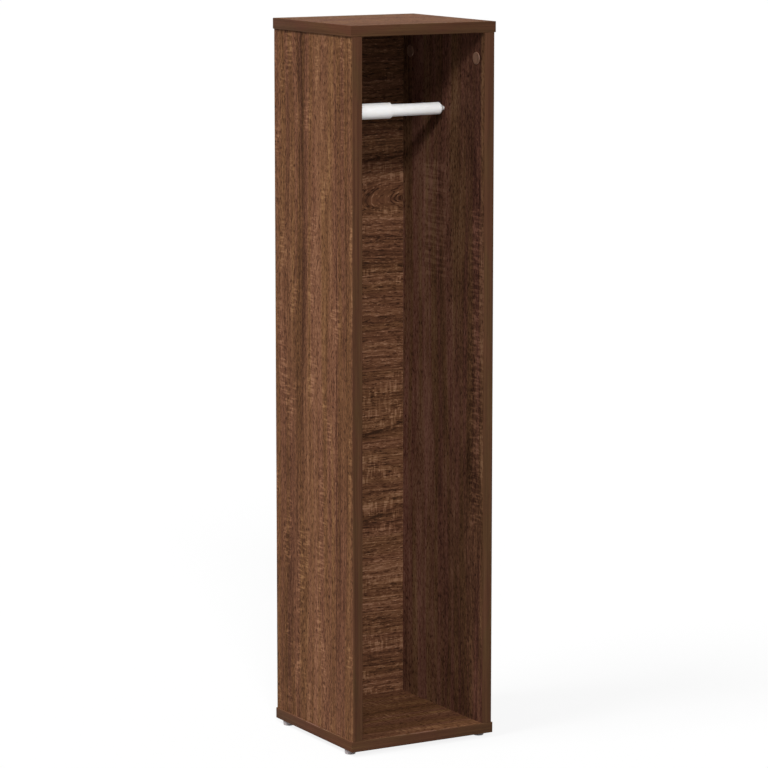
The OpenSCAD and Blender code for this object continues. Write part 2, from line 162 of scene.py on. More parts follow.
def drawn_out(
    tree: Tree,
    place: Socket,
    sizes_mm: tuple[float, float, float],
    detail: float,
    fine_share: float = 0.5,
) -> Socket:
    """Draws noise whose marks have a size of their own along each axis.

    Args:
        tree: The node tree.
        place: Place in metres.
        sizes_mm: Size of a mark along each axis.
        detail: Octaves of finer noise in a mark.
        fine_share: Strength of each octave over that of the one before.

    Returns:
        The noise, from 0 to 1.
    """
    scale = tuple(1 / (size * MM) for size in sizes_mm)
    scaled = add_node(tree, "VectorMath", {"operation": "MULTIPLY"}, {0: place, 1: scale}).outputs[0]
    return add_node(
        tree,
        "TexNoise",
        inputs={"Vector": scaled, "Scale": 1.0, "Detail": detail, "Roughness": fine_share},
    ).outputs[0]


def clouded(
    tree: Tree,
    clouds: Socket,
    stops: list[tuple[float, str]],
    roughness: tuple[float, float],
) -> dict[str, Socket]:
    """Lets colour and roughness follow the same clouds.

    Args:
        tree: The node tree.
        clouds: The clouds, from 0 to 1.
        stops: Position and colour of each stop of their ramp.
        roughness: Roughness where they are high and where they are low.

    Returns:
        The shader's inputs by name.
    """
    colour = add_node(tree, "ValToRGB", inputs={0: clouds})
    set_ramp(colour.color_ramp, stops)
    low, high = NOISE_USUAL
    clean, dull = roughness
    rough = add_node(
        tree,
        "MapRange",
        inputs={0: clouds, "From Min": low, "From Max": high, "To Min": dull, "To Max": clean},
    )
    return {"Base Color": colour.outputs[0], "Roughness": rough.outputs[0]}


def end_material(
    tree: Tree, looks: dict[str, Any], height: Socket, depth_mm: float, strength: float = 0.5
) -> None:
    """Ends a finish with its bump, its shader and the output.

    Args:
        tree: The node tree.
        looks: Values and sockets of the shader's inputs by name.
        height: Unevenness of the surface, from 0 to 1.
        depth_mm: Depth of that unevenness.
        strength: Share of it that shows.
    """
    bump = add_node(
        tree, "Bump", inputs={"Strength": strength, "Distance": depth_mm * MM, "Height": height}
    )
    shader = add_node(tree, "BsdfPrincipled", inputs={**looks, "Normal": bump.outputs[0]})
    add_node(tree, "OutputMaterial", inputs={"Surface": shader.outputs[0]})


# ------------------------------------------------------------------ wood finishes


class Grain(Enum):
    """Object axes across the grain, through the board and along the grain."""

    UPRIGHT_SIDE = ("Y", "X", "Z")
    UPRIGHT_FRONT = ("X", "Y", "Z")
    LEVEL_FACE = ("Y", "Z", "X")
    LEVEL_FRONT = ("Z", "Y", "X")
    LEVEL_END = ("Z", "X", "Y")


@dataclass(frozen=True)
class Patch:
    """A soft-edged place on a board, such as where a saw left its marks.

    Attributes:
        across_mm: Its middle and its half width across the grain.
        along_mm: Its middle and its half length along the grain.
        soft_mm: Width of its soft edge.
    """

    across_mm: tuple[float, float]
    along_mm: tuple[float, float]
    soft_mm: float = 14.0


@dataclass(frozen=True)
class Line:
    """A line or strip along the whole board, which comes and goes.

    Attributes:
        at_mm: Where its middle lies across the grain.
        half_mm: Distance from its middle to where it has faded out.
        reach: How far it moves the tone, below zero to darken it.
        run_mm: Size of the stretches in which it comes and goes. None keeps it throughout.
        slope: How far it moves across the grain for each step along it.
    """

    at_mm: float
    half_mm: float
    reach: float
    run_mm: float | None = 90.0
    slope: float = 0.0


@dataclass(frozen=True)
class Mark:
    """One layer of a wood's figure: noise drawn out along the grain.

    Attributes:
        across_mm: Size of a mark across the grain.
        along_mm: Size of a mark along the grain.
        reach: How far the layer moves the tone, below zero to darken it.
        cut: Noise value under which the layer does nothing. None lets it swing both ways.
        edge: How much noise it takes from nothing to the full reach.
        detail: Octaves of finer noise in the mark.
        within: A mark or patch that this one is kept inside.
    """

    across_mm: float
    along_mm: float
    reach: float
    cut: float | None = None
    edge: float = 0.12
    detail: float = 1.0
    within: "Mark | Patch | None" = None


@dataclass(frozen=True)
class BareFace:
    """Uncoated material that shows behind a plane square to Y.

    Attributes:
        behind_y: The plane, in metres.
        ground: Colour of the material.
        chip: Colour of its darker chips or fibres.
        chip_mm: Size of the chips or fibres.
        cloud_mm: Size of the slow clouds in which there are more or fewer of them.
    """

    behind_y: float
    ground: str
    chip: str
    chip_mm: float
    cloud_mm: float = 60.0


# Broad bands of a plank, its growth rings, streaks and mottle, and then pores. Real pores
# are 0.3 mm wide, and are drawn four times as wide so that they show.
BANDS = Mark(across_mm=30, along_mm=900, reach=0.28, detail=1)
RINGS = Mark(across_mm=5, along_mm=300, reach=0.20, detail=1)
STREAKS = Mark(across_mm=2.2, along_mm=60, reach=0.40, detail=3)
MOTTLE = Mark(across_mm=2.6, along_mm=8, reach=0.34, detail=2)
PORES = Mark(across_mm=1.3, along_mm=7, reach=-0.50, cut=0.55)
FLECKS = Mark(across_mm=1.3, along_mm=3.2, reach=0.27, cut=0.62)
SAW_PATCHES = Mark(across_mm=30, along_mm=110, reach=1.0, cut=0.53, detail=1)
SAW_BARS = Mark(across_mm=22, along_mm=3.6, reach=0.30, cut=0.48, within=SAW_PATCHES)


@dataclass(frozen=True)
class Wood:
    """Wood, or a board printed as wood, with its figure along the grain.

    Attributes:
        name: Name of the material.
        grain: How the grain lies.
        tones: Colours from the darkest mark to the palest.
        figure: Layers that make the tone.
        seed_mm: Offset into the figure, so that no two boards match.
        lines: Lines and strips that run the whole length.
        warp_mm: Size across and along of the bends in the grain, and how far they reach.
        heart_mm: Where the log's middle comes nearest to the board, across and along. The
            rings round it are cut into nested arches. None is for straight grain.
        tints: Colours that the tone is multiplied by in slow bands.
        tint_mm: Size of those bands across and along the grain.
        roughness: Roughness of the palest and of the darkest marks.
        specular: Specular level, below 0.5 for a surface with a matt texture.
        emboss_mm: Depth of the texture that is pressed into the surface.
        bare: Uncoated material that shows behind the board, if any.
    """

    name: str
    grain: Grain
    tones: tuple[str, ...]
    figure: tuple[Mark, ...]
    seed_mm: tuple[float, float, float] = (0.0, 0.0, 0.0)
    lines: tuple[Line, ...] = ()
    warp_mm: tuple[float, float, float] = (55.0, 420.0, 7.0)
    heart_mm: tuple[float, float] | None = None
    tints: tuple[str, str] = ("fbf6de", "fef3f0")
    tint_mm: tuple[float, float] = (14.0, 500.0)
    roughness: tuple[float, float] = (0.60, 0.74)
    specular: float = 0.03
    emboss_mm: float = 0.10
    bare: BareFace | None = None

    # Size of a mark through the board, and the tone before any mark moves it.
    THROUGH_MM: ClassVar[float] = 9.0
    MID_TONE: ClassVar[float] = 0.5
    # Share of each finer octave of a mark, and width of the stretches in which a line comes
    # and goes over its half width. They are so much wider that it fades all across.
    FINE_SHARE: ClassVar[float] = 0.65
    STRETCH_WIDTHS: ClassVar[float] = 12.0
    # Tones of the first and the last colour, and the noise between which the tint changes.
    TONE_REACH: ClassVar[tuple[float, float]] = (0.08, 0.92)
    TINT_REACH: ClassVar[tuple[float, float]] = (0.38, 0.60)
    # Steepness of the log's middle line against the board.
    HEART_SLOPE: ClassVar[float] = 0.20
    # How far the slow clouds of a bare face move its amount of chips, the noise between
    # which chips turn to ground, and the roughness of such a face.
    CLOUD_REACH: ClassVar[float] = 0.07
    CHIP_REACH: ClassVar[tuple[float, float]] = (0.36, 0.56)
    BARE_ROUGHNESS: ClassVar[float] = 0.88

    def material(self) -> Material:
        """Builds the node material.

        Returns:
            The material.
        """
        material, tree = start_material(self.name)
        place = add_node(tree, "TexCoord").outputs["Object"]
        axes = add_node(tree, "SeparateXYZ", inputs={0: place}).outputs
        parts = {i: axes[axis] for i, axis in enumerate(self.grain.value)}
        grained = add_node(tree, "CombineXYZ", inputs=parts).outputs[0]
        seed = tuple(value * MM for value in self.seed_mm)
        level = add_node(tree, "VectorMath", {"operation": "ADD"}, {0: grained, 1: seed}).outputs[0]
        warped = self._warped(tree, level)
        grown = self._ringed(tree, warped) if self.heart_mm else warped

        layers = [self._layer(tree, level if mark.within else grown, mark) for mark in self.figure]
        layers += [self._line(tree, warped, line) for line in self.lines]
        tone: Socket | float = self.MID_TONE
        for layer in layers:
            tone = add_node(tree, "Math", {"operation": "ADD"}, {0: tone, 1: layer}).outputs[0]

        colour = add_node(tree, "ValToRGB", inputs={0: tone})
        low, high = self.TONE_REACH
        step = (high - low) / (len(self.tones) - 1)
        set_ramp(colour.color_ramp, [(low + step * i, tint) for i, tint in enumerate(self.tones)])
        surface = self._tinted(tree, warped, colour.outputs[0])
        pale, dark = self.roughness
        sheen = add_node(tree, "MapRange", inputs={0: tone, "To Min": dark, "To Max": pale}).outputs[0]
        if self.bare:
            surface, sheen = self._with_bare_face(tree, place, axes["Y"], surface, sheen)
        looks = {"Base Color": surface, "Roughness": sheen, "Specular IOR Level": self.specular}
        end_material(tree, looks, tone, self.emboss_mm, strength=0.6)
        return material

    def _noise(
        self,
        tree: Tree,
        place: Socket,
        size_mm: tuple[float, float],
        detail: float = 1.0,
        fine_share: float = 0.5,
    ) -> Socket:
        """Draws noise along the grain.

        Args:
            tree: The node tree.
            place: Place as across, through and along, in metres.
            size_mm: Size of a mark across and along the grain.
            detail: Octaves of finer noise in a mark.
            fine_share: Strength of each octave over that of the one before.

        Returns:
            The noise, from 0 to 1.
        """
        across_mm, along_mm = size_mm
        sizes_mm = (across_mm, self.THROUGH_MM, along_mm)
        return drawn_out(tree, place, sizes_mm, detail, fine_share)

    def _layer(self, tree: Tree, place: Socket, mark: Mark) -> Socket:
        """Draws one layer of the figure.

        Args:
            tree: The node tree.
            place: Place as across, through and along, in metres.
            mark: The layer.

        Returns:
            What the layer adds to the tone.
        """
        size_mm = (mark.across_mm, mark.along_mm)
        noise = self._noise(tree, place, size_mm, mark.detail, self.FINE_SHARE)
        if mark.cut is None:
            low, high = NOISE_REACH
            least, most = -mark.reach / 2, mark.reach / 2
        else:
            low, high = mark.cut, mark.cut + mark.edge
            least, most = 0.0, mark.reach
        value = add_node(
            tree,
            "MapRange",
            inputs={0: noise, "From Min": low, "From Max": high, "To Min": least, "To Max": most},
        ).outputs[0]
        if mark.within:
            limit = self._patch if isinstance(mark.within, Patch) else self._layer
            inside = limit(tree, place, mark.within)
            value = add_node(tree, "Math", {"operation": "MULTIPLY"}, {0: value, 1: inside}).outputs[0]
        return value

    def _patch(self, tree: Tree, place: Socket, patch: Patch) -> Socket:
        """Tells where a placed patch is.

        Args:
            tree: The node tree.
            place: Place as across, through and along, in metres, seed included.
            patch: The patch.

        Returns:
            1 inside the patch, and 0 outside it.
        """
        parts = add_node(tree, "SeparateXYZ", inputs={0: place}).outputs
        inside: Socket | float = 1.0
        for axis, (at_mm, half_mm) in ((0, patch.across_mm), (2, patch.along_mm)):
            apart = self._apart(tree, parts[axis], at_mm + self.seed_mm[axis])
            near = add_node(
                tree,
                "MapRange",
                {"interpolation_type": "SMOOTHSTEP"},
                {
                    0: apart,
                    "From Min": (half_mm - patch.soft_mm) * MM,
                    "From Max": half_mm * MM,
                    "To Min": 1.0,
                    "To Max": 0.0,
                },
            ).outputs[0]
            inside = add_node(tree, "Math", {"operation": "MULTIPLY"}, {0: inside, 1: near}).outputs[0]
        return inside

    @staticmethod
    def _apart(tree: Tree, value: Socket, at_mm: float) -> Socket:
        """Distance of a coordinate, in metres, from a value in millimetres."""
        beside = add_node(tree, "Math", {"operation": "SUBTRACT"}, {0: value, 1: at_mm * MM})
        return add_node(tree, "Math", {"operation": "ABSOLUTE"}, {0: beside.outputs[0]}).outputs[0]

    def _warped(self, tree: Tree, place: Socket) -> Socket:
        """Bends the grain gently, as it grows past knots.

        Args:
            tree: The node tree.
            place: Place as across, through and along, in metres.

        Returns:
            The bent place.
        """
        across_mm, along_mm, reach_mm = self.warp_mm
        wave = self._noise(tree, place, (across_mm, along_mm))
        # Noise keeps to the middle half of its range, so the push is set for twice the reach.
        most = 2 * reach_mm * MM
        push = add_node(tree, "MapRange", inputs={0: wave, "To Min": -most, "To Max": most})
        aside = add_node(tree, "CombineXYZ", inputs={0: push.outputs[0]}).outputs[0]
        return add_node(tree, "VectorMath", {"operation": "ADD"}, {0: place, 1: aside}).outputs[0]

    def _ringed(self, tree: Tree, place: Socket) -> Socket:
        """Replaces the place across by the distance from the log's middle line.

        That line runs slightly askew to the board, so its rings are cut into arches that
        point away from where it is nearest.

        Args:
            tree: The node tree.
            place: Place as across, through and along, in metres, seed included.

        Returns:
            Place as ring, through and along.
        """
        parts = add_node(tree, "SeparateXYZ", inputs={0: place}).outputs
        across, along = (
            self._apart(tree, parts[axis], at_mm + self.seed_mm[axis])
            for axis, at_mm in zip((0, 2), self.heart_mm, strict=True)
        )
        depth = add_node(tree, "Math", {"operation": "MULTIPLY"}, {0: along, 1: self.HEART_SLOPE})
        spoke = add_node(tree, "CombineXYZ", inputs={0: across, 1: depth.outputs[0]}).outputs[0]
        radius = add_node(tree, "VectorMath", {"operation": "LENGTH"}, {0: spoke}).outputs["Value"]
        ringed = add_node(tree, "CombineXYZ", inputs={0: radius, 1: parts[1], 2: parts[2]})
        return ringed.outputs[0]

    def _line(self, tree: Tree, place: Socket, line: Line) -> Socket:
        """Draws a line or strip along the whole board.

        Args:
            tree: The node tree.
            place: Place as across, through and along, in metres, seed included.
            line: The line.

        Returns:
            What the line adds to the tone.
        """
        parts = add_node(tree, "SeparateXYZ", inputs={0: place}).outputs
        middle_mm = line.at_mm + self.seed_mm[0] - line.slope * self.seed_mm[2]
        across = add_node(
            tree, "Math", {"operation": "MULTIPLY_ADD"}, {0: parts[2], 1: -line.slope, 2: parts[0]}
        ).outputs[0]
        shade = add_node(
            tree,
            "MapRange",
            {"interpolation_type": "SMOOTHSTEP"},
            {
                0: self._apart(tree, across, middle_mm),
                "From Max": line.half_mm * MM,
                "To Min": line.reach,
                "To Max": 0.0,
            },
        ).outputs[0]
        if line.run_mm is None:
            return shade
        across_mm = line.half_mm * self.STRETCH_WIDTHS
        stretches = Mark(across_mm, line.run_mm, reach=1.0, cut=0.36, edge=0.22)
        here = self._layer(tree, place, stretches)
        return add_node(tree, "Math", {"operation": "MULTIPLY"}, {0: shade, 1: here}).outputs[0]

    def _tinted(self, tree: Tree, place: Socket, colour: Socket) -> Socket:
        """Turns slow bands of the wood redder or more olive.

        Args:
            tree: The node tree.
            place: Place as across, through and along, in metres.
            colour: Colour of the tone.

        Returns:
            The tinted colour.
        """
        tint = add_node(tree, "ValToRGB", inputs={0: self._noise(tree, place, self.tint_mm)})
        set_ramp(tint.color_ramp, list(zip(self.TINT_REACH, self.tints, strict=True)))
        return add_node(
            tree,
            "Mix",
            {"data_type": "RGBA", "blend_type": "MULTIPLY"},
            {0: 1.0, 6: colour, 7: tint.outputs[0]},
        ).outputs[2]

    def _with_bare_face(
        self, tree: Tree, place: Socket, y_place: Socket, surface: Socket, sheen: Socket
    ) -> tuple[Socket, Socket]:
        """Shows the uncoated core behind the bare plane.

        Args:
            tree: The node tree.
            place: Place in the object's axes.
            y_place: Its Y part.
            surface: Colour of the coated faces.
            sheen: Their roughness.

        Returns:
            Colour and roughness over the whole board.
        """
        chips, clouds = (
            add_node(
                tree, "TexNoise", inputs={"Vector": place, "Scale": 1 / (size * MM), "Detail": 3.0}
            ).outputs[0]
            for size in (self.bare.chip_mm, self.bare.cloud_mm)
        )
        low, high = NOISE_USUAL
        fewer = add_node(
            tree,
            "MapRange",
            inputs={
                0: clouds, "From Min": low, "From Max": high,
                "To Min": -self.CLOUD_REACH, "To Max": self.CLOUD_REACH,
            },
        ).outputs[0]
        amount = add_node(tree, "Math", {"operation": "ADD"}, {0: chips, 1: fewer}).outputs[0]
        core = add_node(tree, "ValToRGB", inputs={0: amount})
        colours = (self.bare.chip, self.bare.ground)
        set_ramp(core.color_ramp, list(zip(self.CHIP_REACH, colours, strict=True)))
        behind = add_node(
            tree, "Math", {"operation": "GREATER_THAN"}, {0: y_place, 1: self.bare.behind_y}
        ).outputs[0]
        mixed = add_node(
            tree, "Mix", {"data_type": "RGBA"}, {0: behind, 6: surface, 7: core.outputs[0]}
        ).outputs[2]
        rough = add_node(
            tree, "MapRange", inputs={0: behind, "To Min": sheen, "To Max": self.BARE_ROUGHNESS}
        ).outputs[0]
        return mixed, rough


# ------------------------------------------------------------------ plastic and metal


@dataclass(frozen=True)
class MouldedPlastic:
    """Injection-moulded plastic, with an even skin and a trace of flow and mould texture.

    Attributes:
        name: Name of the material.
        colour: Main colour.
        flow: Colour of the slow flow clouds.
        roughness: Roughness of the smooth and of the duller parts.
        grit_mm: Size of the mould's texture.
        grit_depth_mm: Its depth.
        glow: Share of light that scatters under the skin.
    """

    name: str
    colour: str
    flow: str
    roughness: tuple[float, float]
    grit_mm: float
    grit_depth_mm: float
    glow: float = 0.0

    FLOW_MM: ClassVar[float] = 7.0
    PLASTIC_IOR: ClassVar[float] = 1.5
    # How far light goes under the skin, and the shares of that for red, green and blue.
    GLOW_REACH_MM: ClassVar[float] = 1.2
    GLOW_COLOUR: ClassVar[tuple[float, float, float]] = (1.0, 0.9, 0.8)

    def material(self) -> Material:
        """Builds the node material.

        Returns:
            The material.
        """
        material, tree = start_material(self.name)
        place = add_node(tree, "TexCoord").outputs["Object"]
        clouds, grit = (
            add_node(
                tree, "TexNoise", inputs={"Vector": place, "Scale": 1 / (size * MM), "Detail": detail}
            ).outputs[0]
            for size, detail in ((self.FLOW_MM, 3.0), (self.grit_mm, 1.0))
        )
        looks = {
            **clouded(tree, clouds, [(0.35, self.flow), (0.65, self.colour)], self.roughness),
            "IOR": self.PLASTIC_IOR,
            "Subsurface Weight": self.glow,
            "Subsurface Radius": self.GLOW_COLOUR,
            "Subsurface Scale": self.GLOW_REACH_MM * MM,
        }
        end_material(tree, looks, grit, self.grit_depth_mm)
        return material


class MetalSkin(Enum):
    """How a metal's surface was made, as size along X, Y and Z of its marks, in millimetres."""

    # The crystals of a casting or a plating and the scratches of a die are under 0.1 mm, and
    # are drawn this coarse so that they show.
    CAST = (1.4, 1.4, 1.4)
    PLATED = (0.8, 0.8, 0.8)
    DRAWN = (3.0, 0.5, 0.5)


@dataclass(frozen=True)
class Metal:
    """Metal with the slightly patchy skin that casting, plating or drawing leaves.

    Attributes:
        name: Name of the material.
        colour: Colour of the clean metal.
        patch: Colour of the duller patches.
        roughness: Roughness of the clean metal and of the patches.
        skin: How the surface was made.
        depth_mm: Depth of its unevenness.
    """

    name: str
    colour: str
    patch: str
    roughness: tuple[float, float]
    skin: MetalSkin
    depth_mm: float = 0.02

    def material(self) -> Material:
        """Builds the node material.

        Returns:
            The material.
        """
        material, tree = start_material(self.name)
        place = add_node(tree, "TexCoord").outputs["Object"]
        marks = drawn_out(tree, place, self.skin.value, detail=4.0)
        looks = clouded(tree, marks, [(0.38, self.patch), (0.62, self.colour)], self.roughness)
        end_material(tree, {**looks, "Metallic": 1.0}, marks, self.depth_mm)
        return material


# ------------------------------------------------------------------ modelling


def put_down() -> None:
    """Leaves edit mode and deselects every object."""
    if bpy.context.object and bpy.context.object.mode != "OBJECT":
        bpy.ops.object.mode_set(mode="OBJECT")
    bpy.ops.object.select_all(action="DESELECT")


def pick_up(*pieces: Piece) -> None:
    """Selects these pieces alone, the first of them active.

    Args:
        pieces: The pieces.
    """
    put_down()
    for piece in pieces:
        piece.select_set(True)
    bpy.context.view_layer.objects.active = pieces[0]


@contextmanager
def editing(piece: Piece) -> Iterator[None]:
    """Opens a piece in edit mode with nothing selected, and closes it afterwards.

    Args:
        piece: The piece.

    Yields:
        Nothing, while the piece is open.
    """
    pick_up(piece)
    bpy.ops.object.mode_set(mode="EDIT")
    bpy.ops.mesh.select_all(action="DESELECT")
    yield
    bpy.ops.object.mode_set(mode="OBJECT")


def pick(piece: Piece, mode: str, test: Callable[[Any], bool]) -> None:
    """Selects the edges or faces of an edited piece that pass a test.

    Args:
        piece: The piece, in edit mode.
        mode: "EDGE" or "FACE".
        test: Tells from the edge or face whether it is wanted.
    """
    bpy.ops.mesh.select_mode(type=mode)
    mesh = bmesh.from_edit_mesh(piece.data)
    for part in mesh.edges if mode == "EDGE" else mesh.faces:
        part.select_set(test(part))
    bmesh.update_edit_mesh(piece.data)


def settle(piece: Piece) -> None:
    """Puts a piece's place, turn and size into its mesh."""
    pick_up(piece)
    bpy.ops.object.transform_apply(location=True, rotation=True, scale=True)


def applied(piece: Piece, kind: str, **settings: Any) -> None:
    """Adds a modifier, sets it and applies it.

    Args:
        piece: The piece.
        kind: Type of the modifier, such as "BEVEL".
        settings: Its settings by name.
    """
    pick_up(piece)
    modifier = piece.modifiers.new(kind.lower(), kind)
    for name, value in settings.items():
        setattr(modifier, name, value)
    bpy.ops.object.modifier_apply(modifier=modifier.name)


def smooth(piece: Piece, degrees: float = 32.0) -> None:
    """Shades a piece smooth, except over edges that turn by more than the angle."""
    pick_up(piece)
    bpy.ops.object.shade_smooth_by_angle(angle=math.radians(degrees))


def block(name: str, low: Vector, high: Vector) -> Piece:
    """Starts a piece from a cube between two corners.

    Args:
        name: Name of the piece.
        low: Lowest corner, in metres.
        high: Highest corner, in metres.

    Returns:
        The piece, with its place in its mesh.
    """
    put_down()
    bpy.ops.mesh.primitive_cube_add(size=1, location=(low + high) / 2)
    piece = bpy.context.object
    piece.name = piece.data.name = name
    piece.scale = high - low
    settle(piece)
    return piece


def lathe(name: str, outline: Outline, sides: int) -> Piece:
    """Turns a closed solid about Z, as on a lathe.

    The first stretch of the outline is a cone, and its end face is then drawn along the
    rest of it by extruding and scaling. The outline may turn back inside to make a bore.

    Args:
        name: Name of the piece.
        outline: Radius and height of each point, in millimetres. The first two differ in height.
        sides: Number of flats round the piece.

    Returns:
        The piece, standing on Z at the origin.
    """
    (first_r, first_z), (radius, height) = outline[:2]
    put_down()
    bpy.ops.mesh.primitive_cone_add(
        vertices=sides,
        radius1=first_r * MM,
        radius2=radius * MM,
        depth=(height - first_z) * MM,
        location=(0, 0, (first_z + height) / 2 * MM),
    )
    piece = bpy.context.object
    piece.name = piece.data.name = name
    settle(piece)
    with editing(piece):
        pick(piece, "FACE", lambda face: face.normal.z > 0.9 and len(face.verts) == sides)
        for (old_r, old_z), (new_r, new_z) in pairwise(outline[1:]):
            bpy.ops.mesh.extrude_region_move(
                TRANSFORM_OT_translate={"value": (0, 0, (new_z - old_z) * MM)}
            )
            scale = new_r / old_r
            bpy.ops.transform.resize(
                value=(scale, scale, 1), center_override=(0, 0, new_z * MM)
            )
    return piece


def arc(
    centre: tuple[float, float], radius: float, start: float, end: float, steps: int
) -> Outline:
    """Points along an arc of an outline.

    Args:
        centre: Radius and height of the arc's middle.
        radius: Radius of the arc.
        start: Angle of its first point in degrees, from the outward direction.
        end: Angle of its last point.
        steps: Number of straight steps.

    Returns:
        The points.
    """
    angles = [math.radians(start + (end - start) * i / steps) for i in range(steps + 1)]
    return [
        (centre[0] + radius * math.cos(angle), centre[1] + radius * math.sin(angle))
        for angle in angles
    ]


def set_at(piece: Piece, spot: Vector, turn: Turn = UNTURNED) -> Piece:
    """Turns a piece about the origin, moves it to its spot and settles it there.

    Args:
        piece: The piece.
        spot: Where its origin goes, in metres.
        turn: Turn about X, Y and Z, in degrees.

    Returns:
        The same piece.
    """
    piece.rotation_euler = tuple(math.radians(angle) for angle in turn)
    piece.location = spot
    settle(piece)
    return piece


def twin(piece: Piece, name: str) -> Piece:
    """Copies a piece with its own mesh.

    Args:
        piece: The piece to copy.
        name: Name of the copy.

    Returns:
        The copy.
    """
    copy = piece.copy()
    copy.data = piece.data.copy()
    copy.name = copy.data.name = name
    bpy.context.collection.objects.link(copy)
    return copy


def joined(pieces: list[Piece], name: str) -> Piece:
    """Joins pieces into the first of them.

    Args:
        pieces: The pieces.
        name: Name of the joined piece.

    Returns:
        The joined piece.
    """
    pick_up(*pieces)
    bpy.ops.object.join()
    pieces[0].name = pieces[0].data.name = name
    return pieces[0]


def repeated(piece: Piece, name: str, spots: list[tuple[Vector, Turn]]) -> Piece:
    """Copies a piece to every spot, and joins it with its copies.

    Args:
        piece: The piece, at the origin.
        name: Name of the joined piece.
        spots: Where each one goes, in metres, and its turn about X, Y and Z, in degrees.

    Returns:
        The joined piece.
    """
    copies = [piece, *(twin(piece, f"{name}_copy") for _ in spots[1:])]
    for copy, (spot, turn) in zip(copies, spots, strict=True):
        set_at(copy, spot, turn)
    return joined(copies, name)


def fused(piece: Piece, other: Piece, operation: str) -> None:
    """Adds another solid to a piece or cuts it out, and removes the other.

    Args:
        piece: The piece that stays.
        other: The solid that is used up.
        operation: "UNION" or "DIFFERENCE".
    """
    applied(piece, "BOOLEAN", operation=operation, object=other, solver="EXACT")
    bpy.data.objects.remove(other)


def middle(node: str) -> Vector:
    """Middle of a node's box."""
    low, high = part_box(node)
    return (low + high) / 2


def dress(piece: Piece, finish: Material) -> None:
    """Gives a piece one material in all its slots.

    Args:
        piece: The piece, or a CAD node.
        finish: Its material.
    """
    if not piece.material_slots:
        piece.data.materials.append(finish)
    for held in piece.material_slots:
        held.material = finish


def dress_node(node: str, finish: Wood | Metal) -> None:
    """Dresses a CAD node that stays as it is, and reports it."""
    dress(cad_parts[node], finish.material())
    log.info("%s: %s", node, finish.name.replace("_", " "))


def hand_over(piece: Piece, body: str, slot: str, finish: Material, *nodes: str) -> None:
    """Dresses a new piece, parents it to the empty of the body that it rides on, and hides the nodes
    that it stands for.

    Args:
        piece: The finished piece.
        body: The body that it rides on.
        slot: The record's material slot. Not used.
        finish: Its material.
        nodes: The nodes that it stands for.
    """
    dress(piece, finish)
    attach(piece, body)
    if nodes:
        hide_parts(*nodes)
    log.info("%s: %d faces", piece.name, len(piece.data.polygons))


# ------------------------------------------------------------------ sub-assemblies


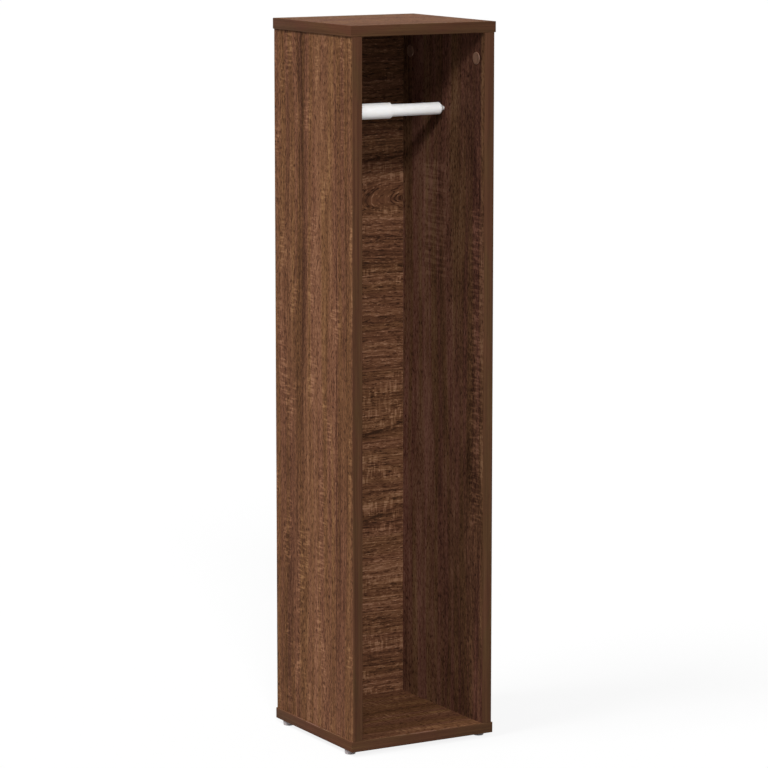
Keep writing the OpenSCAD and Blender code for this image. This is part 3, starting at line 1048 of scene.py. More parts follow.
@dataclass
class Carcass:
    """Boards of the cabinet. Their solids stay, and get the sawn oak decor.

    Attributes:
        tones: Colours of the printed oak, from its darkest mark to its palest.
        right_tones: The same for the right board.
        top_tones: The same for the top board.
        back_tones: The same for the back panel.
        chipboard: Colours of the core, which shows at the boards' rear edges, and its chips.
        hardboard: Colours of the back panel's bare rear face and its fibres.
        cut_mm: Depth of the boards' rear edges that is taken as uncoated.
        print_mm: Depth of the back panel's front that is taken as printed.
    """

    tones: tuple[str, ...] = ("331f16", "4e3425", "644432", "775640", "8a674e")
    right_tones: tuple[str, ...] = ("321f17", "4f3528", "654635", "775644", "896853")
    top_tones: tuple[str, ...] = ("362219", "4d3324", "60412f", "73533c", "8a6b4c")
    back_tones: tuple[str, ...] = ("342218", "4d3324", "61422f", "785741", "927058")
    chipboard: tuple[str, str] = ("b39a74", "77593a")
    hardboard: tuple[str, str] = ("8c6b4b", "6b4e34")
    cut_mm: float = 0.2
    print_mm: float = 0.15

    def build(self) -> None:
        """Dresses the five boards."""
        rear_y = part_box("left_side_panel")[1].y
        cut_edge = BareFace(rear_y - self.cut_mm * MM, *self.chipboard, chip_mm=1.6)
        common = (RINGS, STREAKS, MOTTLE, PORES, FLECKS)
        front_bars = Mark(26, 4.2, reach=0.26, cut=0.47, within=Patch((-94, 24), (520, 230)))
        rear_bars = Mark(60, 5.2, reach=0.20, cut=0.44, within=Patch((20, 38), (718, 90)))
        # Chipboard coated with a printed oak decor that is pressed to feel sawn: matt, with
        # dark pores, pale flecks and the cross bars of a saw.
        boards = {
            "left_side_panel": Wood(
                "sawn_oak_decor_left",
                Grain.UPRIGHT_SIDE,
                self.tones,
                (BANDS, *common, SAW_BARS),
                seed_mm=(310, 40, 120),
                lines=(
                    Line(42, 2.4, -0.30),
                    Line(-64, 2.2, -0.32, run_mm=140),
                    Line(-86, 22, -0.09, run_mm=None),
                    Line(-76, 1.6, -0.22, run_mm=60),
                    Line(-90, 1.6, -0.18, run_mm=60),
                    Line(-26, 46, 0.07, run_mm=None),
                    Line(-60, 9, 0.09, run_mm=None),
                    Line(-8, 9, 0.05, run_mm=None),
                    Line(30, 17, -0.11, run_mm=None),
                    Line(70, 34, -0.09, run_mm=None),
                    Line(-107, 7, 0.14, run_mm=400),
                ),
                bare=cut_edge,
            ),
            "right_side_panel": Wood(
                "sawn_oak_decor_right",
                Grain.UPRIGHT_SIDE,
                self.right_tones,
                (
                    replace(BANDS, reach=0.14),
                    Mark(across_mm=26, along_mm=100, reach=0.26, detail=1),
                    *common,
                    front_bars,
                    rear_bars,
                ),
                seed_mm=(-140, 77, 900),
                lines=(
                    Line(-104, 5, 0.16, run_mm=60),
                    Line(-97, 1.6, -0.24, run_mm=90),
                    # Painted shade and light: the broad darker strip over the front of the inner face
                    # and the broad paler strip over its rear offset the lamps, which light it more at
                    # the front than at the rear.
                    Line(-84, 54, -0.17, run_mm=None),
                    Line(58, 60, 0.20, run_mm=None),
                ),
                tints=("f6f6e2", "fff0fa"),
                bare=cut_edge,
            ),
            "top_panel": Wood(
                "sawn_oak_decor_top",
                Grain.LEVEL_FACE,
                self.top_tones,
                (replace(BANDS, reach=0.20), *common),
                seed_mm=(55, -310, 410),
                bare=cut_edge,
            ),
            "base_panel": Wood(
                "sawn_oak_decor_base",
                Grain.LEVEL_FACE,
                self.tones,
                (replace(BANDS, reach=0.30), *common, SAW_BARS),
                seed_mm=(-620, 150, 35),
                bare=cut_edge,
            ),
            # Hardboard printed with the same decor, its grain level: a coarser, flatter figure.
            "back_panel": Wood(
                "printed_oak_hardboard",
                Grain.LEVEL_FRONT,
                self.back_tones,
                (
                    Mark(across_mm=60, along_mm=900, reach=0.16, detail=1),
                    Mark(across_mm=16, along_mm=600, reach=0.20, detail=1),
                    Mark(across_mm=2.8, along_mm=150, reach=0.44, detail=1),
                    Mark(across_mm=1.8, along_mm=16, reach=0.42, detail=2),
                    Mark(across_mm=1.4, along_mm=9, reach=-0.40, cut=0.56),
                    Mark(across_mm=1.4, along_mm=5, reach=0.34, cut=0.60),
                    SAW_BARS,
                ),
                seed_mm=(480, 20, -260),
                lines=(
                    Line(396, 3.5, -0.34, run_mm=None, slope=0.2),
                    Line(400, 18, -0.16, run_mm=None, slope=0.1),
                    Line(520, 30, 0.16, run_mm=None),
                    Line(370, 14, 0.12, run_mm=None),
                    Line(272, 3, -0.26, run_mm=None, slope=0.26),
                    Line(288, 12, -0.12, run_mm=None),
                    Line(650, 16, -0.14, run_mm=None),
                ),
                warp_mm=(40.0, 160.0, 3.5),
                heart_mm=(741, 130),
                tints=("fffaf0", "fff6f4"),
                bare=BareFace(rear_y + self.print_mm * MM, *self.hardboard, chip_mm=0.9),
            ),
        }
        for node, finish in boards.items():
            dress_node(node, finish)


@dataclass
class EdgeBands:
    """Bands glued to the visible edges, with rounded long edges and fine broken arrises.

    Attributes:
        rounding_mm: Rounding of the long outer edges.
        rounding_steps: Flats in that rounding.
        arris_mm: Width of the scraped arrises.
        arris_highlight_mm: How far down from their upper arris the base's bands get a pale painted
            highlight, where that arris catches the light.
        tones: Colours of the printed band, and last the pale colour of that painted highlight.
        end_tones: The same for the bands on the left and right ends.
    """

    rounding_mm: float = 0.85
    rounding_steps: int = 5
    arris_mm: float = 0.12
    arris_highlight_mm: float = 1.8
    tones: tuple[str, ...] = ("382519", "422c20", "4a3324", "543c2a", "80645a")
    end_tones: tuple[str, ...] = ("3b251a", "452d20", "4e3425", "573c2a", "7f645a")

    def build(self) -> None:
        """Makes the eight bands."""
        ways = {
            Grain.LEVEL_FRONT: ("top_front", "base_front"),
            Grain.UPRIGHT_FRONT: ("left_side", "right_side"),
            Grain.LEVEL_END: ("top_left", "top_right", "base_left", "base_right"),
        }
        # Painted highlight: a pale line along the base bands' upper arris, where they catch the light
        # from above.
        arris_highlight = Line(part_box("base_front_edge_band")[1].z / MM, self.arris_highlight_mm, 0.34, run_mm=None)
        for grain, names in ways.items():
            # ABS strip, extruded and printed with a plain oak: darker and more even than the
            # boards and a little shinier, with a pale painted highlight along the base's upper arris.
            finish = Wood(
                f"printed_abs_band_{grain.name.lower()}",
                grain,
                self.end_tones if grain is Grain.LEVEL_END else self.tones,
                (
                    Mark(across_mm=5, along_mm=400, reach=0.3, detail=1),
                    Mark(across_mm=1.6, along_mm=120, reach=0.4, detail=3),
                    Mark(across_mm=1.1, along_mm=12, reach=-0.18, cut=0.6),
                ),
                seed_mm=(15, 30, 70),
                lines=() if grain is Grain.UPRIGHT_FRONT else (arris_highlight,),
                warp_mm=(55.0, 420.0, 0.0),
                tints=("faf8ea", "ffefee"),
                tint_mm=(16.0, 70.0),
                roughness=(0.55, 0.66),
                emboss_mm=0.04,
            ).material()
            for name in names:
                self._band(f"{name}_edge_band", finish)

    def _band(self, node: str, finish: Material) -> None:
        """Makes one band in the place of its node.

        Args:
            node: The node that it stands for.
            finish: Its material.
        """
        low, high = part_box(node)
        size = high - low
        along = max(range(3), key=lambda axis: size[axis])
        through = min(range(3), key=lambda axis: size[axis])
        outer = low if (low + high)[through] < 0 else high
        piece = block(f"{node}_rounded", low, high)
        with editing(piece):
            pick(
                piece,
                "EDGE",
                lambda edge: all(
                    abs(vert.co[through] - outer[through]) < NEAR for vert in edge.verts
                )
                and abs(edge.verts[0].co[along] - edge.verts[1].co[along]) > size[along] / 2,
            )
            bpy.ops.mesh.bevel(
                offset=self.rounding_mm * MM, segments=self.rounding_steps, affect="EDGES"
            )
        applied(
            piece,
            "BEVEL",
            width=self.arris_mm * MM,
            segments=2,
            limit_method="ANGLE",
            angle_limit=math.radians(60),
        )
        smooth(piece)
        hand_over(piece, CABINET, "decor_edge_band", finish, node)


@dataclass
class CamFittings:
    """Cam housings, their bolts and dowels, and the caps that cover the housings.

    Attributes:
        cap_mm: Diameter and thickness of a cap.
        edge_mm: Chamfer of its inner edge.
        rim_mm: Rounding of its outer rim.
        dish_mm: Depth of the shallow dish in its face, and width of the dish's slope.
        dish_share: Diameter of the dish as a share of the cap's.
        plug_mm: Length, width and depth of the cross that holds it.
        sink_mm: How far that cross is sunk into the cap.
        sides: Flats round a cap.
    """

    cap_mm: tuple[float, float] = (17.0, 1.1)
    edge_mm: float = 0.15
    rim_mm: float = 0.5
    dish_mm: tuple[float, float] = (0.12, 0.5)
    dish_share: float = 0.80
    plug_mm: tuple[float, float, float] = (8.8, 1.8, 2.0)
    sink_mm: float = 0.3
    sides: int = 56

    def build(self) -> None:
        """Makes the caps and dresses the fittings behind them."""
        low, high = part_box("cam_covers")
        inner_x = high.x - self.plug_mm[2] * MM
        radius = self.cap_mm[0] / 2 * MM
        spots = [
            (Vector((side * inner_x, y, (low.z + high.z) / 2)), (0, -90 * side, 0))
            for side in (-1, 1)
            for y in (low.y + radius, high.y - radius)
        ]
        caps = repeated(self._cap(), "cam_caps", spots)
        hand_over(caps, CABINET, "brown_plastic", BROWN_PLASTIC.material(), "cam_covers")
        dress_node("cam_housings", ZINC)
        dress_node("cam_bolts", BRIGHT_STEEL)
        dress_node("top_dowels", BEECH)

    def _cap(self) -> Piece:
        """Turns a cap with its dish, and sets the cross of its plug under it.

        Returns:
            The cap, its inner face at height 0.
        """
        radius, thick = self.cap_mm[0] / 2, self.cap_mm[1]
        dish_r = radius * self.dish_share
        dish_depth, dish_slope = self.dish_mm
        cap = lathe(
            "cam_cap",
            [
                (radius - self.edge_mm, 0),
                (radius, self.edge_mm),
                *arc((radius - self.rim_mm, thick - self.rim_mm), self.rim_mm, 0, 90, 5),
                (dish_r, thick),
                (dish_r - dish_slope, thick - dish_depth),
                (dish_r * HUB, thick - dish_depth),
            ],
            self.sides,
        )
        length, width, depth = (size * MM for size in self.plug_mm)
        for run in (Vector((length, width, 0)), Vector((width, length, 0))):
            half = run / 2
            top = half + Vector((0, 0, self.sink_mm * MM))
            fused(cap, block("plug_arm", -half - Vector((0, 0, depth)), top), "UNION")
        smooth(cap)
        return cap


@dataclass
class Nails:
    """Nails of the back panel, driven flush, with a faintly domed and dented head.

    Attributes:
        head_mm: Diameter and thickness of the head.
        edge_mm: Chamfer of its lower rim.
        fillet_mm: Width and height of the fillet under it.
        crown_mm: Inset from its rim and depth below its top of each ring of its face.
        shank_mm: Diameter and length of the shank.
        point_mm: Radius and length of the point.
        sides: Flats round a nail.
    """

    head_mm: tuple[float, float] = (3.2, 0.6)
    edge_mm: float = 0.1
    fillet_mm: tuple[float, float] = (0.2, 0.15)
    crown_mm: tuple[tuple[float, float], ...] = ((0, 0.2), (0.25, 0.05), (0.72, 0), (1.12, 0.06))
    shank_mm: tuple[float, float] = (1.4, 16.0)
    point_mm: tuple[float, float] = (0.15, 2.0)
    sides: int = 20

    def build(self) -> None:
        """Makes one nail and copies it to every nail of the node."""
        (head_d, head_t), (shank_d, length) = self.head_mm, self.shank_mm
        (point_r, point_len), (fillet_w, fillet_h) = self.point_mm, self.fillet_mm
        head_r, shank_r = head_d / 2, shank_d / 2
        nail = lathe(
            "back_nail",
            [
                (point_r, -length),
                (shank_r, -length + point_len),
                (shank_r, -head_t - fillet_h),
                (shank_r + fillet_w, -head_t),
                (head_r - self.edge_mm, -head_t),
                (head_r, -head_t + self.edge_mm),
                *((head_r - inset, -depth) for inset, depth in self.crown_mm),
            ],
            self.sides,
        )
        smooth(nail, degrees=40)
        rear_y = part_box("back_panel_nails")[1].y
        spots = [(Vector((x, rear_y, z)), (-90, 0, 0)) for x, z in self._places()]
        nails = repeated(nail, "back_nails", spots)
        hand_over(nails, CABINET, "plated_steel", PLATED_STEEL.material(), "back_panel_nails")

    def _places(self) -> list[tuple[float, float]]:
        """Finds the nails' places from the node's own heads.

        Returns:
            X and Z of each nail, in metres.
        """
        rear_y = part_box("back_panel_nails")[1].y
        heads: list[list[Vector]] = []
        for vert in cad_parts["back_panel_nails"].data.vertices:
            if vert.co.y < rear_y - NEAR:
                continue
            for head in heads:
                if (head[0] - vert.co).length < self.head_mm[0] * MM:
                    head.append(vert.co.copy())
                    break
            else:
                heads.append([vert.co.copy()])
        centres = []
        for head in heads:
            across, up = [spot.x for spot in head], [spot.z for spot in head]
            centres.append(((min(across) + max(across)) / 2, (min(up) + max(up)) / 2))
        return centres


@dataclass
class BaseScrews:
    """Screws up through the base board, countersunk, with a hexagon socket.

    Attributes:
        head_mm: Diameter and height of the countersunk head.
        edge_mm: Chamfer of its rim.
        neck_mm: Diameter of the neck, its end below the head's face, and its taper's length.
        shank_mm: Diameter of the threaded part.
        length_mm: Length over all.
        point_mm: Radius and length of the point.
        thread_mm: Depth and pitch of the thread.
        key_mm: Width and depth of the hexagon socket.
        sides: Flats round a screw.
    """

    head_mm: tuple[float, float] = (10.0, 3.0)
    edge_mm: float = 0.25
    neck_mm: tuple[float, float, float] = (7.0, 11.0, 1.0)
    shank_mm: float = 5.0
    length_mm: float = 50.0
    point_mm: tuple[float, float] = (0.3, 4.0)
    thread_mm: tuple[float, float] = (0.7, 3.0)
    key_mm: tuple[float, float] = (4.0, 2.6)
    sides: int = 48

    def build(self) -> None:
        """Makes one screw and copies it to its four places."""
        screw = lathe("base_screw", self._outline(), self.sides)
        width, depth = (size * MM for size in self.key_mm)
        put_down()
        # The corners of a hexagon lie at its width across flats over the root of three.
        bpy.ops.mesh.primitive_cylinder_add(vertices=6, radius=width / math.sqrt(3), depth=2 * depth)
        fused(screw, bpy.context.object, "DIFFERENCE")
        smooth(screw, degrees=30)

        low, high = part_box("base_screws")
        reach = self.head_mm[0] / 2 * MM
        spots = [
            (Vector((x, y, low.z)), UNTURNED)
            for x in (low.x + reach, high.x - reach)
            for y in (low.y + reach, high.y - reach)
        ]
        screws = repeated(screw, "base_screws_turned", spots)
        hand_over(screws, CABINET, "plated_steel", BRIGHT_STEEL.material(), "base_screws")

    def _outline(self) -> Outline:
        """Outline of a screw, from its head's face up to its point.

        Returns:
            Radius and height of each point.
        """
        (head_d, head_h), (neck_d, neck_end, taper) = self.head_mm, self.neck_mm
        (depth, pitch), (point_r, point_len) = self.thread_mm, self.point_mm
        crest_r = self.shank_mm / 2
        root_r = crest_r - depth
        height = neck_end + taper
        outline = [
            (head_d / 2 - self.edge_mm, 0),
            (head_d / 2, self.edge_mm),
            (neck_d / 2, head_h),
            (neck_d / 2, neck_end),
            (root_r, height),
        ]
        # Each turn of the thread rises and falls in the second half of its pitch.
        while height + pitch < self.length_mm - point_len:
            outline += [
                (root_r, height + 0.5 * pitch),
                (crest_r, height + 0.75 * pitch),
                (root_r, height + pitch),
            ]
            height += pitch
        return [*outline, (root_r, self.length_mm - point_len), (point_r, self.length_mm)]


@dataclass
class Glides:
    """Nailed glides under the base, slightly see-through, with a rounded foot.

    Attributes:
        top_mm: Diameter at the board.
        flange_mm: Height of the straight rim at the board, and of the slope under it.
        taper_mm: Narrowing to the foot.
        round_mm: Rounding of the foot's rim.
        recess_mm: Diameter and depth of the recess for the nail's head.
        hole_mm: Diameter of the nail's hole.
        head_mm: Diameter and thickness of the nail's head.
        crown_mm: Inset from its rim and depth below its top of each ring of its face.
        shank_mm: Diameter and length of the nail under its head.
        point_mm: Radius and length of the nail's point.
        edge_mm: Chamfer of the glide's and the head's rims.
        sides: Flats round a glide and round a nail.
    """

    top_mm: float = 16.0
    flange_mm: tuple[float, float] = (1.1, 0.3)
    taper_mm: float = 0.6
    round_mm: float = 0.8
    recess_mm: tuple[float, float] = (5.2, 1.6)
    hole_mm: float = 2.2
    head_mm: tuple[float, float] = (4.6, 0.8)
    crown_mm: tuple[tuple[float, float], ...] = ((1.495, 0), (0.575, 0.06), (0.1, 0.25), (0, 0.45))
    shank_mm: tuple[float, float] = (2.0, 16.0)
    point_mm: tuple[float, float] = (0.2, 2.0)
    edge_mm: float = 0.1
    sides: tuple[int, int] = (56, 32)

    def build(self) -> None:
        """Makes the four glides and their nails."""
        names = ("front_left_glide", "front_right_glide", "rear_left_glide", "rear_right_glide")
        low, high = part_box(names[0])
        finish = GREY_PLASTIC.material()
        glide = self._glide((high.z - low.z) / MM)
        nail = self._nail()
        shapes = [glide, *(twin(glide, "glide") for _ in names[1:])]
        spots = []
        for name, shape in zip(names, shapes, strict=True):
            spot = middle(name)
            set_at(shape, Vector((spot.x, spot.y, 0)))
            spots.append((Vector((spot.x, spot.y, self.recess_mm[1] * MM)), UNTURNED))
            shape.name = shape.data.name = f"{name}_moulded"
            hand_over(shape, CABINET, "grey_plastic", finish, name)
        nails = repeated(nail, "glide_nails_formed", spots)
        hand_over(nails, CABINET, "plated_steel", PLATED_STEEL.material(), "glide_nails")

    def _glide(self, height: float) -> Piece:
        """Turns a glide from the floor up, and bores its hole and its recess.

        Args:
            height: Height of the glide, in millimetres.

        Returns:
            The glide, its foot at height 0.
        """
        top_r = self.top_mm / 2
        foot_r = top_r - self.taper_mm
        rim, slope = self.flange_mm
        glide = lathe(
            "glide",
            [
                (foot_r - self.round_mm, 0),
                *arc((foot_r - self.round_mm, self.round_mm), self.round_mm, -60, 0, 4),
                (top_r - self.edge_mm, height - rim - slope),
                (top_r, height - rim),
                (top_r, height - self.edge_mm),
                (top_r - self.edge_mm, height),
            ],
            self.sides[0],
        )
        recess_d, recess_h = self.recess_mm
        # The cutters stand out by this much past the faces that they go through.
        past = 1.0
        for width, end in ((self.hole_mm, height + past), (recess_d, recess_h)):
            bore = lathe("bore", [(width / 2, -past), (width / 2, end)], self.sides[0])
            fused(glide, bore, "DIFFERENCE")
        smooth(glide)
        return glide

    def _nail(self) -> Piece:
        """Turns the nail of a glide.

        Returns:
            The nail, its head's underside at height 0.
        """
        head_r, head_t = self.head_mm[0] / 2, self.head_mm[1]
        shank_r, length = self.shank_mm[0] / 2, self.shank_mm[1]
        point_r, point_len = self.point_mm
        nail = lathe(
            "glide_nail",
            [
                *((head_r - inset, depth - head_t) for inset, depth in self.crown_mm),
                (head_r, -self.edge_mm),
                (head_r - self.edge_mm, 0),
                (shank_r, 0.01),
                (shank_r, length - point_len),
                (point_r, length),
            ],
            self.sides[1],
        )
        smooth(nail, degrees=40)
        return nail


@dataclass
class SprungSpindle:
    """Sprung spindle: a sleeve, the plunger that slides in it, and their spring.

    All sizes are in millimetres, and distances along it are from the cabinet's middle.

    Attributes:
        sleeve_r: Radius of the sleeve.
        sleeve_bore_r: Radius of its bore.
        mouth_round: Rounding of its mouth.
        lip_r: Radius inside the lip at its mouth.
        lip_len: Length of the lip.
        sleeve_floor: Where the bore ends.
        plunger_r: Radius of the plunger.
        plunger_bore_r: Radius of its bore.
        plunger_floor: Where its bore ends.
        collar_r: Radius of the collar on its inner end.
        collar_len: Length of the collar.
        edge: Chamfer of the lip, of the collar and of a tip's inner end.
        ease: Fine easing where a tip meets its cone and its cone meets the tube.
        tip_r: Radius of both tips.
        tip_len: Length of a tip up to its cone.
        tip_round: Rounding of a tip's end.
        cone_slope: Length of a cone over its fall in radius.
        shoulder: Fall in radius of the rounding between a cone and the tube.
        shoulder_rings: Fall below the tube and distance past the cone of each ring of that
            rounding, as shares of the shoulder.
        spigot: Radius, length and chamfer of the spigot in the sleeve that holds the spring.
        rib: Reach into the plunger's bore and thickness of its four ribs, and how far inside
            its mouth they begin.
        rib_sink: How far the ribs are sunk into the bore's wall and floor.
        wire_r: Radius of the spring's wire.
        wire_sides: Flats round the wire.
        coil_r: Radius of the coil's middle line.
        turns: Turns of the spring.
        turn_steps: Straight steps in a turn.
        travel: How far the plunger slides in. Not used.
        sides: Flats round the sleeve and the plunger.
        axis: A point on the spindle's middle line, in metres, found from its node.
    """

    sleeve_r: float = 11.0
    sleeve_bore_r: float = 9.6
    mouth_round: float = 0.5
    lip_r: float = 8.6
    lip_len: float = 3.0
    sleeve_floor: float = -83.38
    plunger_r: float = 8.5
    plunger_bore_r: float = 7.1
    plunger_floor: float = 86.38
    collar_r: float = 9.5
    collar_len: float = 4.0
    edge: float = 0.3
    ease: float = 0.1
    tip_r: float = 2.5
    tip_len: float = 3.6
    tip_round: float = 0.7
    cone_slope: float = 1.2
    shoulder: float = 0.9
    shoulder_rings: tuple[tuple[float, float], ...] = (
        (0.55, 0.22), (0.22, 0.52), (0.05, 0.82), (0.0, 1.2),
    )
    spigot: tuple[float, float, float] = (4.7, 6.0, 1.0)
    rib: tuple[float, float, float] = (3.4, 1.2, 12.0)
    rib_sink: tuple[float, float] = (0.7, 0.5)
    wire_r: float = 0.5
    wire_sides: int = 10
    coil_r: float = 5.8
    turns: int = 17
    turn_steps: int = 24
    travel: float = 15.0
    sides: int = 72
    axis: Vector = field(default_factory=Vector)

    def build(self) -> None:
        """Makes the sleeve, the plunger and the spring."""
        centre = middle("spindle_sleeve")
        self.axis = Vector((0, centre.y, centre.z))
        white = WHITE_PLASTIC.material()
        hand_over(self._sleeve(), SLEEVE_BODY, "white_plastic", white, "spindle_sleeve")
        hand_over(self._plunger(), PLUNGER_BODY, "white_plastic", white, "spindle_plunger")
        self._spring()

    def _tip(self, radius: float, end: float) -> Outline:
        """Outline of a conical end, from its tip inwards.

        Args:
            radius: Radius of the tube behind it.
            end: Distance from the middle to the tip.

        Returns:
            Radius and height of each point, the tip at the lowest height.
        """
        cone = -end + self.tip_len
        cone_end = cone + (radius - self.shoulder - self.tip_r) * self.cone_slope
        round_r = self.tip_r - self.tip_round
        return [
            (round_r - 2 * self.ease, -end),
            *arc((round_r, -end + self.tip_round), self.tip_round, -75, 0, 5),
            (self.tip_r, cone - self.edge),
            (self.tip_r + self.ease, cone - self.ease / 2),
            (radius - self.shoulder - self.ease, cone_end - self.ease),
            *(
                (radius - fall * self.shoulder, cone_end + past * self.shoulder)
                for fall, past in self.shoulder_rings
            ),
        ]

    def _sleeve(self) -> Piece:
        """Turns the sleeve from its tip to its mouth, and back down its bore to the spigot.

        Returns:
            The sleeve in its place, its tip on the left.
        """
        low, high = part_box("spindle_sleeve")
        mouth = high.x / MM
        lip_end = mouth - self.lip_len
        spigot_r, spigot_len, chamfer = self.spigot
        spigot_end = self.sleeve_floor + spigot_len
        rounding = self.mouth_round
        sleeve = lathe(
            "spindle_sleeve_moulded",
            [
                *self._tip(self.sleeve_r, -low.x / MM),
                (self.sleeve_r, mouth - rounding - self.ease),
                *arc((self.sleeve_r - rounding, mouth - rounding), rounding, 15, 90, 4),
                (self.lip_r + self.edge, mouth),
                (self.lip_r, mouth - self.edge),
                (self.lip_r, lip_end),
                (self.sleeve_bore_r, lip_end - (self.sleeve_bore_r - self.lip_r)),
                (self.sleeve_bore_r, self.sleeve_floor),
                (spigot_r, self.sleeve_floor),
                (spigot_r, spigot_end - chamfer),
                (spigot_r - chamfer, spigot_end),
            ],
            self.sides,
        )
        smooth(sleeve)
        return set_at(sleeve, self.axis, (0, 90, 0))

    def _plunger(self) -> Piece:
        """Turns the plunger from its tip to its collar, and sets the ribs in its bore.

        Returns:
            The plunger in its place, its tip on the right.
        """
        low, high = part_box("spindle_plunger")
        inner = -low.x / MM
        collar_end = inner - self.collar_len
        plunger = lathe(
            "spindle_plunger_moulded",
            [
                *self._tip(self.plunger_r, high.x / MM),
                (self.plunger_r, collar_end - (self.collar_r - self.plunger_r)),
                (self.collar_r, collar_end),
                (self.collar_r, inner - self.edge),
                (self.collar_r - self.edge, inner),
                (self.plunger_bore_r, inner),
                (self.plunger_bore_r, -self.plunger_floor),
                (self.plunger_bore_r * HUB, -self.plunger_floor),
            ],
            self.sides,
        )
        reach, thick, pocket = self.rib
        wall_sink, floor_sink = self.rib_sink
        inside, outside = self.plunger_bore_r - reach, self.plunger_bore_r + wall_sink
        for axis, side in product((0, 1), (-1, 1)):
            low_corner = Vector((-thick / 2, -thick / 2, -self.plunger_floor - floor_sink))
            high_corner = Vector((thick / 2, thick / 2, inner - pocket))
            low_corner[axis], high_corner[axis] = sorted((side * inside, side * outside))
            fused(plunger, block("rib", low_corner * MM, high_corner * MM), "UNION")
        smooth(plunger)
        return set_at(plunger, self.axis, (0, -90, 0))

    def _spring(self) -> None:
        """Winds the spring from a ring of wire, and hangs it on the sleeve."""
        low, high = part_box("spindle_spring")
        length = (high.x - low.x) / MM
        pitch = (length - 2 * self.wire_r) / self.turns
        put_down()
        bpy.ops.mesh.primitive_circle_add(
            vertices=self.wire_sides, radius=self.wire_r * MM, location=(self.coil_r * MM, 0, 0)
        )
        spring = bpy.context.object
        spring.name = spring.data.name = "spindle_spring_wound"
        spring.rotation_euler = (math.radians(90), 0, 0)
        settle(spring)
        applied(
            spring,
            "SCREW",
            angle=math.tau,
            screw_offset=pitch * MM,
            iterations=self.turns,
            steps=self.turn_steps,
            render_steps=self.turn_steps,
            use_merge_vertices=False,
        )
        with editing(spring):
            bpy.ops.mesh.select_mode(type="EDGE")
            bpy.ops.mesh.select_non_manifold()
            bpy.ops.mesh.edge_face_add()
            bpy.ops.mesh.select_all(action="SELECT")
            bpy.ops.mesh.normals_make_consistent(inside=False)
        smooth(spring, degrees=50)
        set_at(spring, Vector((low.x + self.wire_r * MM, self.axis.y, self.axis.z)), (0, 90, 0))
        hand_over(spring, SLEEVE_BODY, "spring_steel", SPRING_STEEL.material(), "spindle_spring")
        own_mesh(spring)


# ------------------------------------------------------------------ finishes of the fittings

# A mould's own texture is about 0.1 mm, and is drawn as 0.5 mm and more so that it shows.
# Brown polypropylene, moulded with a satin skin: a soft, even highlight.
BROWN_PLASTIC = MouldedPlastic("brown_polypropylene", "8a6856", "7c5b49", (0.32, 0.42), 0.5, 0.02)
# Grey low-density polyethylene, waxy and a little see-through, so its rim glows.
GREY_PLASTIC = MouldedPlastic(
    "grey_polyethylene", "a39a9a", "8f8788", (0.34, 0.46), 0.6, 0.02, glow=0.35
)
# White polypropylene, moulded smooth: bright, with a soft highlight along the tube.
WHITE_PLASTIC = MouldedPlastic(
    "white_polypropylene", "fcfbfa", "f8f7f5", (0.28, 0.38), 0.7, 0.01, glow=0.12
)
# Zinc alloy as it comes from the die: grey and mottled, with dull highlights.
ZINC = Metal("zinc_alloy_diecast", "a9abad", "8b8d90", (0.42, 0.58), MetalSkin.CAST)
# Steel with bright zinc plating: a clear but slightly cloudy shine.
BRIGHT_STEEL = Metal("bright_zinc_plated_steel", "c9cacc", "acaeb3", (0.22, 0.38), MetalSkin.PLATED)
# Steel of common nails, plated thinly: greyer and duller than the screws.
PLATED_STEEL = Metal("plated_nail_steel", "b4b4b2", "908f8c", (0.32, 0.50), MetalSkin.PLATED)
# Spring wire, hard drawn: dark, with fine streaks.
SPRING_STEEL = Metal("drawn_spring_steel", "9a9a9c", "727376", (0.24, 0.36), MetalSkin.DRAWN)
# Steamed beech: pinkish, with short dark flecks along the dowel.
BEECH = Wood(
    "steamed_beech",
    Grain.UPRIGHT_SIDE,
    ("9a6f4a", "b98d64", "cfa67c", "dcb990"),
    (
        Mark(across_mm=4, along_mm=80, reach=0.4, detail=1),
        Mark(across_mm=0.8, along_mm=30, reach=0.3, detail=2),
        Mark(across_mm=0.6, along_mm=2.2, reach=-0.4, cut=0.6),
    ),
    roughness=(0.5, 0.62),
)


# ------------------------------------------------------------------ studio


@dataclass
class Lamp:
    """A distant softbox.

    Attributes:
        name: Name of the lamp.
        azimuth: Degrees round from the front, towards the left where above zero.
        elevation: Degrees above the horizon.
        level: Light on a surface that faces it, where 1 shows a colour as written.
        spread: Angle that it fills, in degrees.
    """

    name: str
    azimuth: float
    elevation: float
    level: float
    spread: float

    # A sun shines the same from any distance, so this only keeps it off the object.
    AWAY: ClassVar[float] = 3.0

    def build(self) -> None:
        """Hangs the lamp."""
        data = bpy.data.lights.new(self.name, "SUN")
        data.energy = self.level * math.pi
        data.angle = math.radians(self.spread)
        lamp = bpy.data.objects.new(self.name, data)
        bpy.context.collection.objects.link(lamp)
        azimuth, elevation = math.radians(self.azimuth), math.radians(self.elevation)
        towards = Vector(
            (
                -math.sin(azimuth) * math.cos(elevation),
                -math.cos(azimuth) * math.cos(elevation),
                math.sin(elevation),
            )
        )
        lamp.location = towards * self.AWAY
        lamp.rotation_mode = "QUATERNION"
        lamp.rotation_quaternion = towards.to_track_quat("Z", "Y")


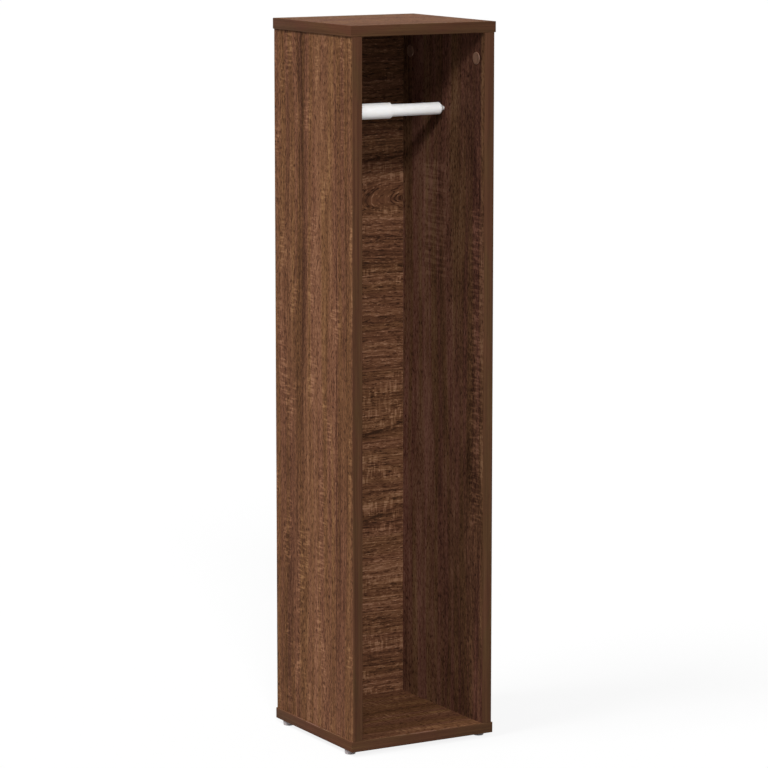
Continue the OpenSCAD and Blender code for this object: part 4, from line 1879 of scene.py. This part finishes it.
@dataclass
class Studio:
    """White floor and background, soft lamps, and the camera at the photograph's angle.

    Attributes:
        camera_mm: Where the camera stands.
        yaw: Degrees that it looks to the right of straight ahead.
        pitch: Degrees that it looks down.
        lens_mm: Focal length on a sensor 36 mm wide.
        ambient: Light from all round.
        floor_half: Half the width of the floor, in metres.
        floor_share: Share of the floor's own shading in what the camera sees of it.
        lamps: The lamps.
    """

    camera_mm: tuple[float, float, float] = (-2388.7, -4199.4, 1270.1)
    yaw: float = 29.65
    pitch: float = 9.12
    lens_mm: float = 164.83
    ambient: float = 0.355
    floor_half: float = 20.0
    floor_share: float = 0.12
    lamps: tuple[Lamp, ...] = (
        Lamp("key", azimuth=25, elevation=35, level=0.76, spread=14),
        Lamp("left_fill", azimuth=88, elevation=54, level=0.826, spread=24),
    )

    SENSOR_MM: ClassVar[float] = 36.0
    # Nearest and farthest that the camera sees, in metres.
    CLIP: ClassVar[tuple[float, float]] = (0.1, 200.0)

    def build(self) -> None:
        """Sets up the world, floor, lamps and camera."""
        self._world()
        self._floor()
        for lamp in self.lamps:
            lamp.build()
        data = bpy.data.cameras.new("camera")
        data.lens = self.lens_mm
        data.sensor_width = self.SENSOR_MM
        data.clip_start, data.clip_end = self.CLIP
        camera = bpy.data.objects.new("camera", data)
        bpy.context.collection.objects.link(camera)
        camera.location = Vector(self.camera_mm) * MM
        camera.rotation_euler = (math.radians(90 - self.pitch), 0, math.radians(-self.yaw))
        bpy.context.scene.camera = camera
        bpy.context.scene.view_settings.view_transform = "Standard"
        log.info("studio: %d lamps", len(self.lamps))

    @staticmethod
    def _seen(tree: Tree) -> Socket:
        """Tells the rays that show the background as it is.

        Args:
            tree: The node tree.

        Returns:
            1 for rays of the camera, of gloss and of clear material, and 0 for others.
        """
        path = add_node(tree, "LightPath").outputs
        seen = path["Is Camera Ray"]
        for other in ("Is Glossy Ray", "Is Transmission Ray"):
            seen = add_node(
                tree, "Math", {"operation": "MAXIMUM"}, {0: seen, 1: path[other]}
            ).outputs[0]
        return seen

    def _world(self) -> None:
        """White where it is seen, and a soft ambient light everywhere else."""
        world = bpy.data.worlds.new("studio")
        bpy.context.scene.world = world
        world.use_nodes = True
        tree = world.node_tree
        tree.nodes.clear()
        soft = add_node(
            tree, "Background", inputs={"Color": linear("ffffff"), "Strength": self.ambient}
        )
        white = add_node(tree, "Background", inputs={"Color": linear(WHITE), "Strength": 1.0})
        mixed = add_node(
            tree,
            "MixShader",
            inputs={0: self._seen(tree), 1: soft.outputs[0], 2: white.outputs[0]},
        )
        add_node(tree, "OutputWorld", inputs={"Surface": mixed.outputs[0]})

    def _floor(self) -> None:
        """Pale floor: nearly white to the camera, with a trace of the object's shadow."""
        material, tree = start_material("pale_floor")
        seen = self._seen(tree)
        paint = add_node(tree, "ValToRGB", inputs={0: seen})
        set_ramp(paint.color_ramp, [(0.0, "b8b8b8"), (1.0, "e8e8e8")])
        matt = add_node(tree, "BsdfDiffuse", inputs={"Color": paint.outputs[0]})
        white = add_node(tree, "Emission", inputs={"Color": linear(WHITE), "Strength": 1.0})
        share = add_node(
            tree, "Math", {"operation": "MULTIPLY"}, {0: seen, 1: 1 - self.floor_share}
        ).outputs[0]
        mixed = add_node(
            tree, "MixShader", inputs={0: share, 1: matt.outputs[0], 2: white.outputs[0]}
        )
        add_node(tree, "OutputMaterial", inputs={"Surface": mixed.outputs[0]})
        put_down()
        bpy.ops.mesh.primitive_plane_add(size=2 * self.floor_half, location=(0, 0, 0))
        floor = bpy.context.object
        floor.name = floor.data.name = "floor"
        dress(floor, material)


# ------------------------------------------------------------------ the cabinet


def main() -> None:
    """Builds the studio and every sub-assembly."""
    logging.basicConfig(level=logging.INFO, format="%(name)s: %(message)s")
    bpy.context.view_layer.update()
    Studio().build()
    Carcass().build()
    EdgeBands().build()
    CamFittings().build()
    Nails().build()
    BaseScrews().build()
    Glides().build()
    SprungSpindle().build()
    put_down()


if __name__ == "__main__":
    main()
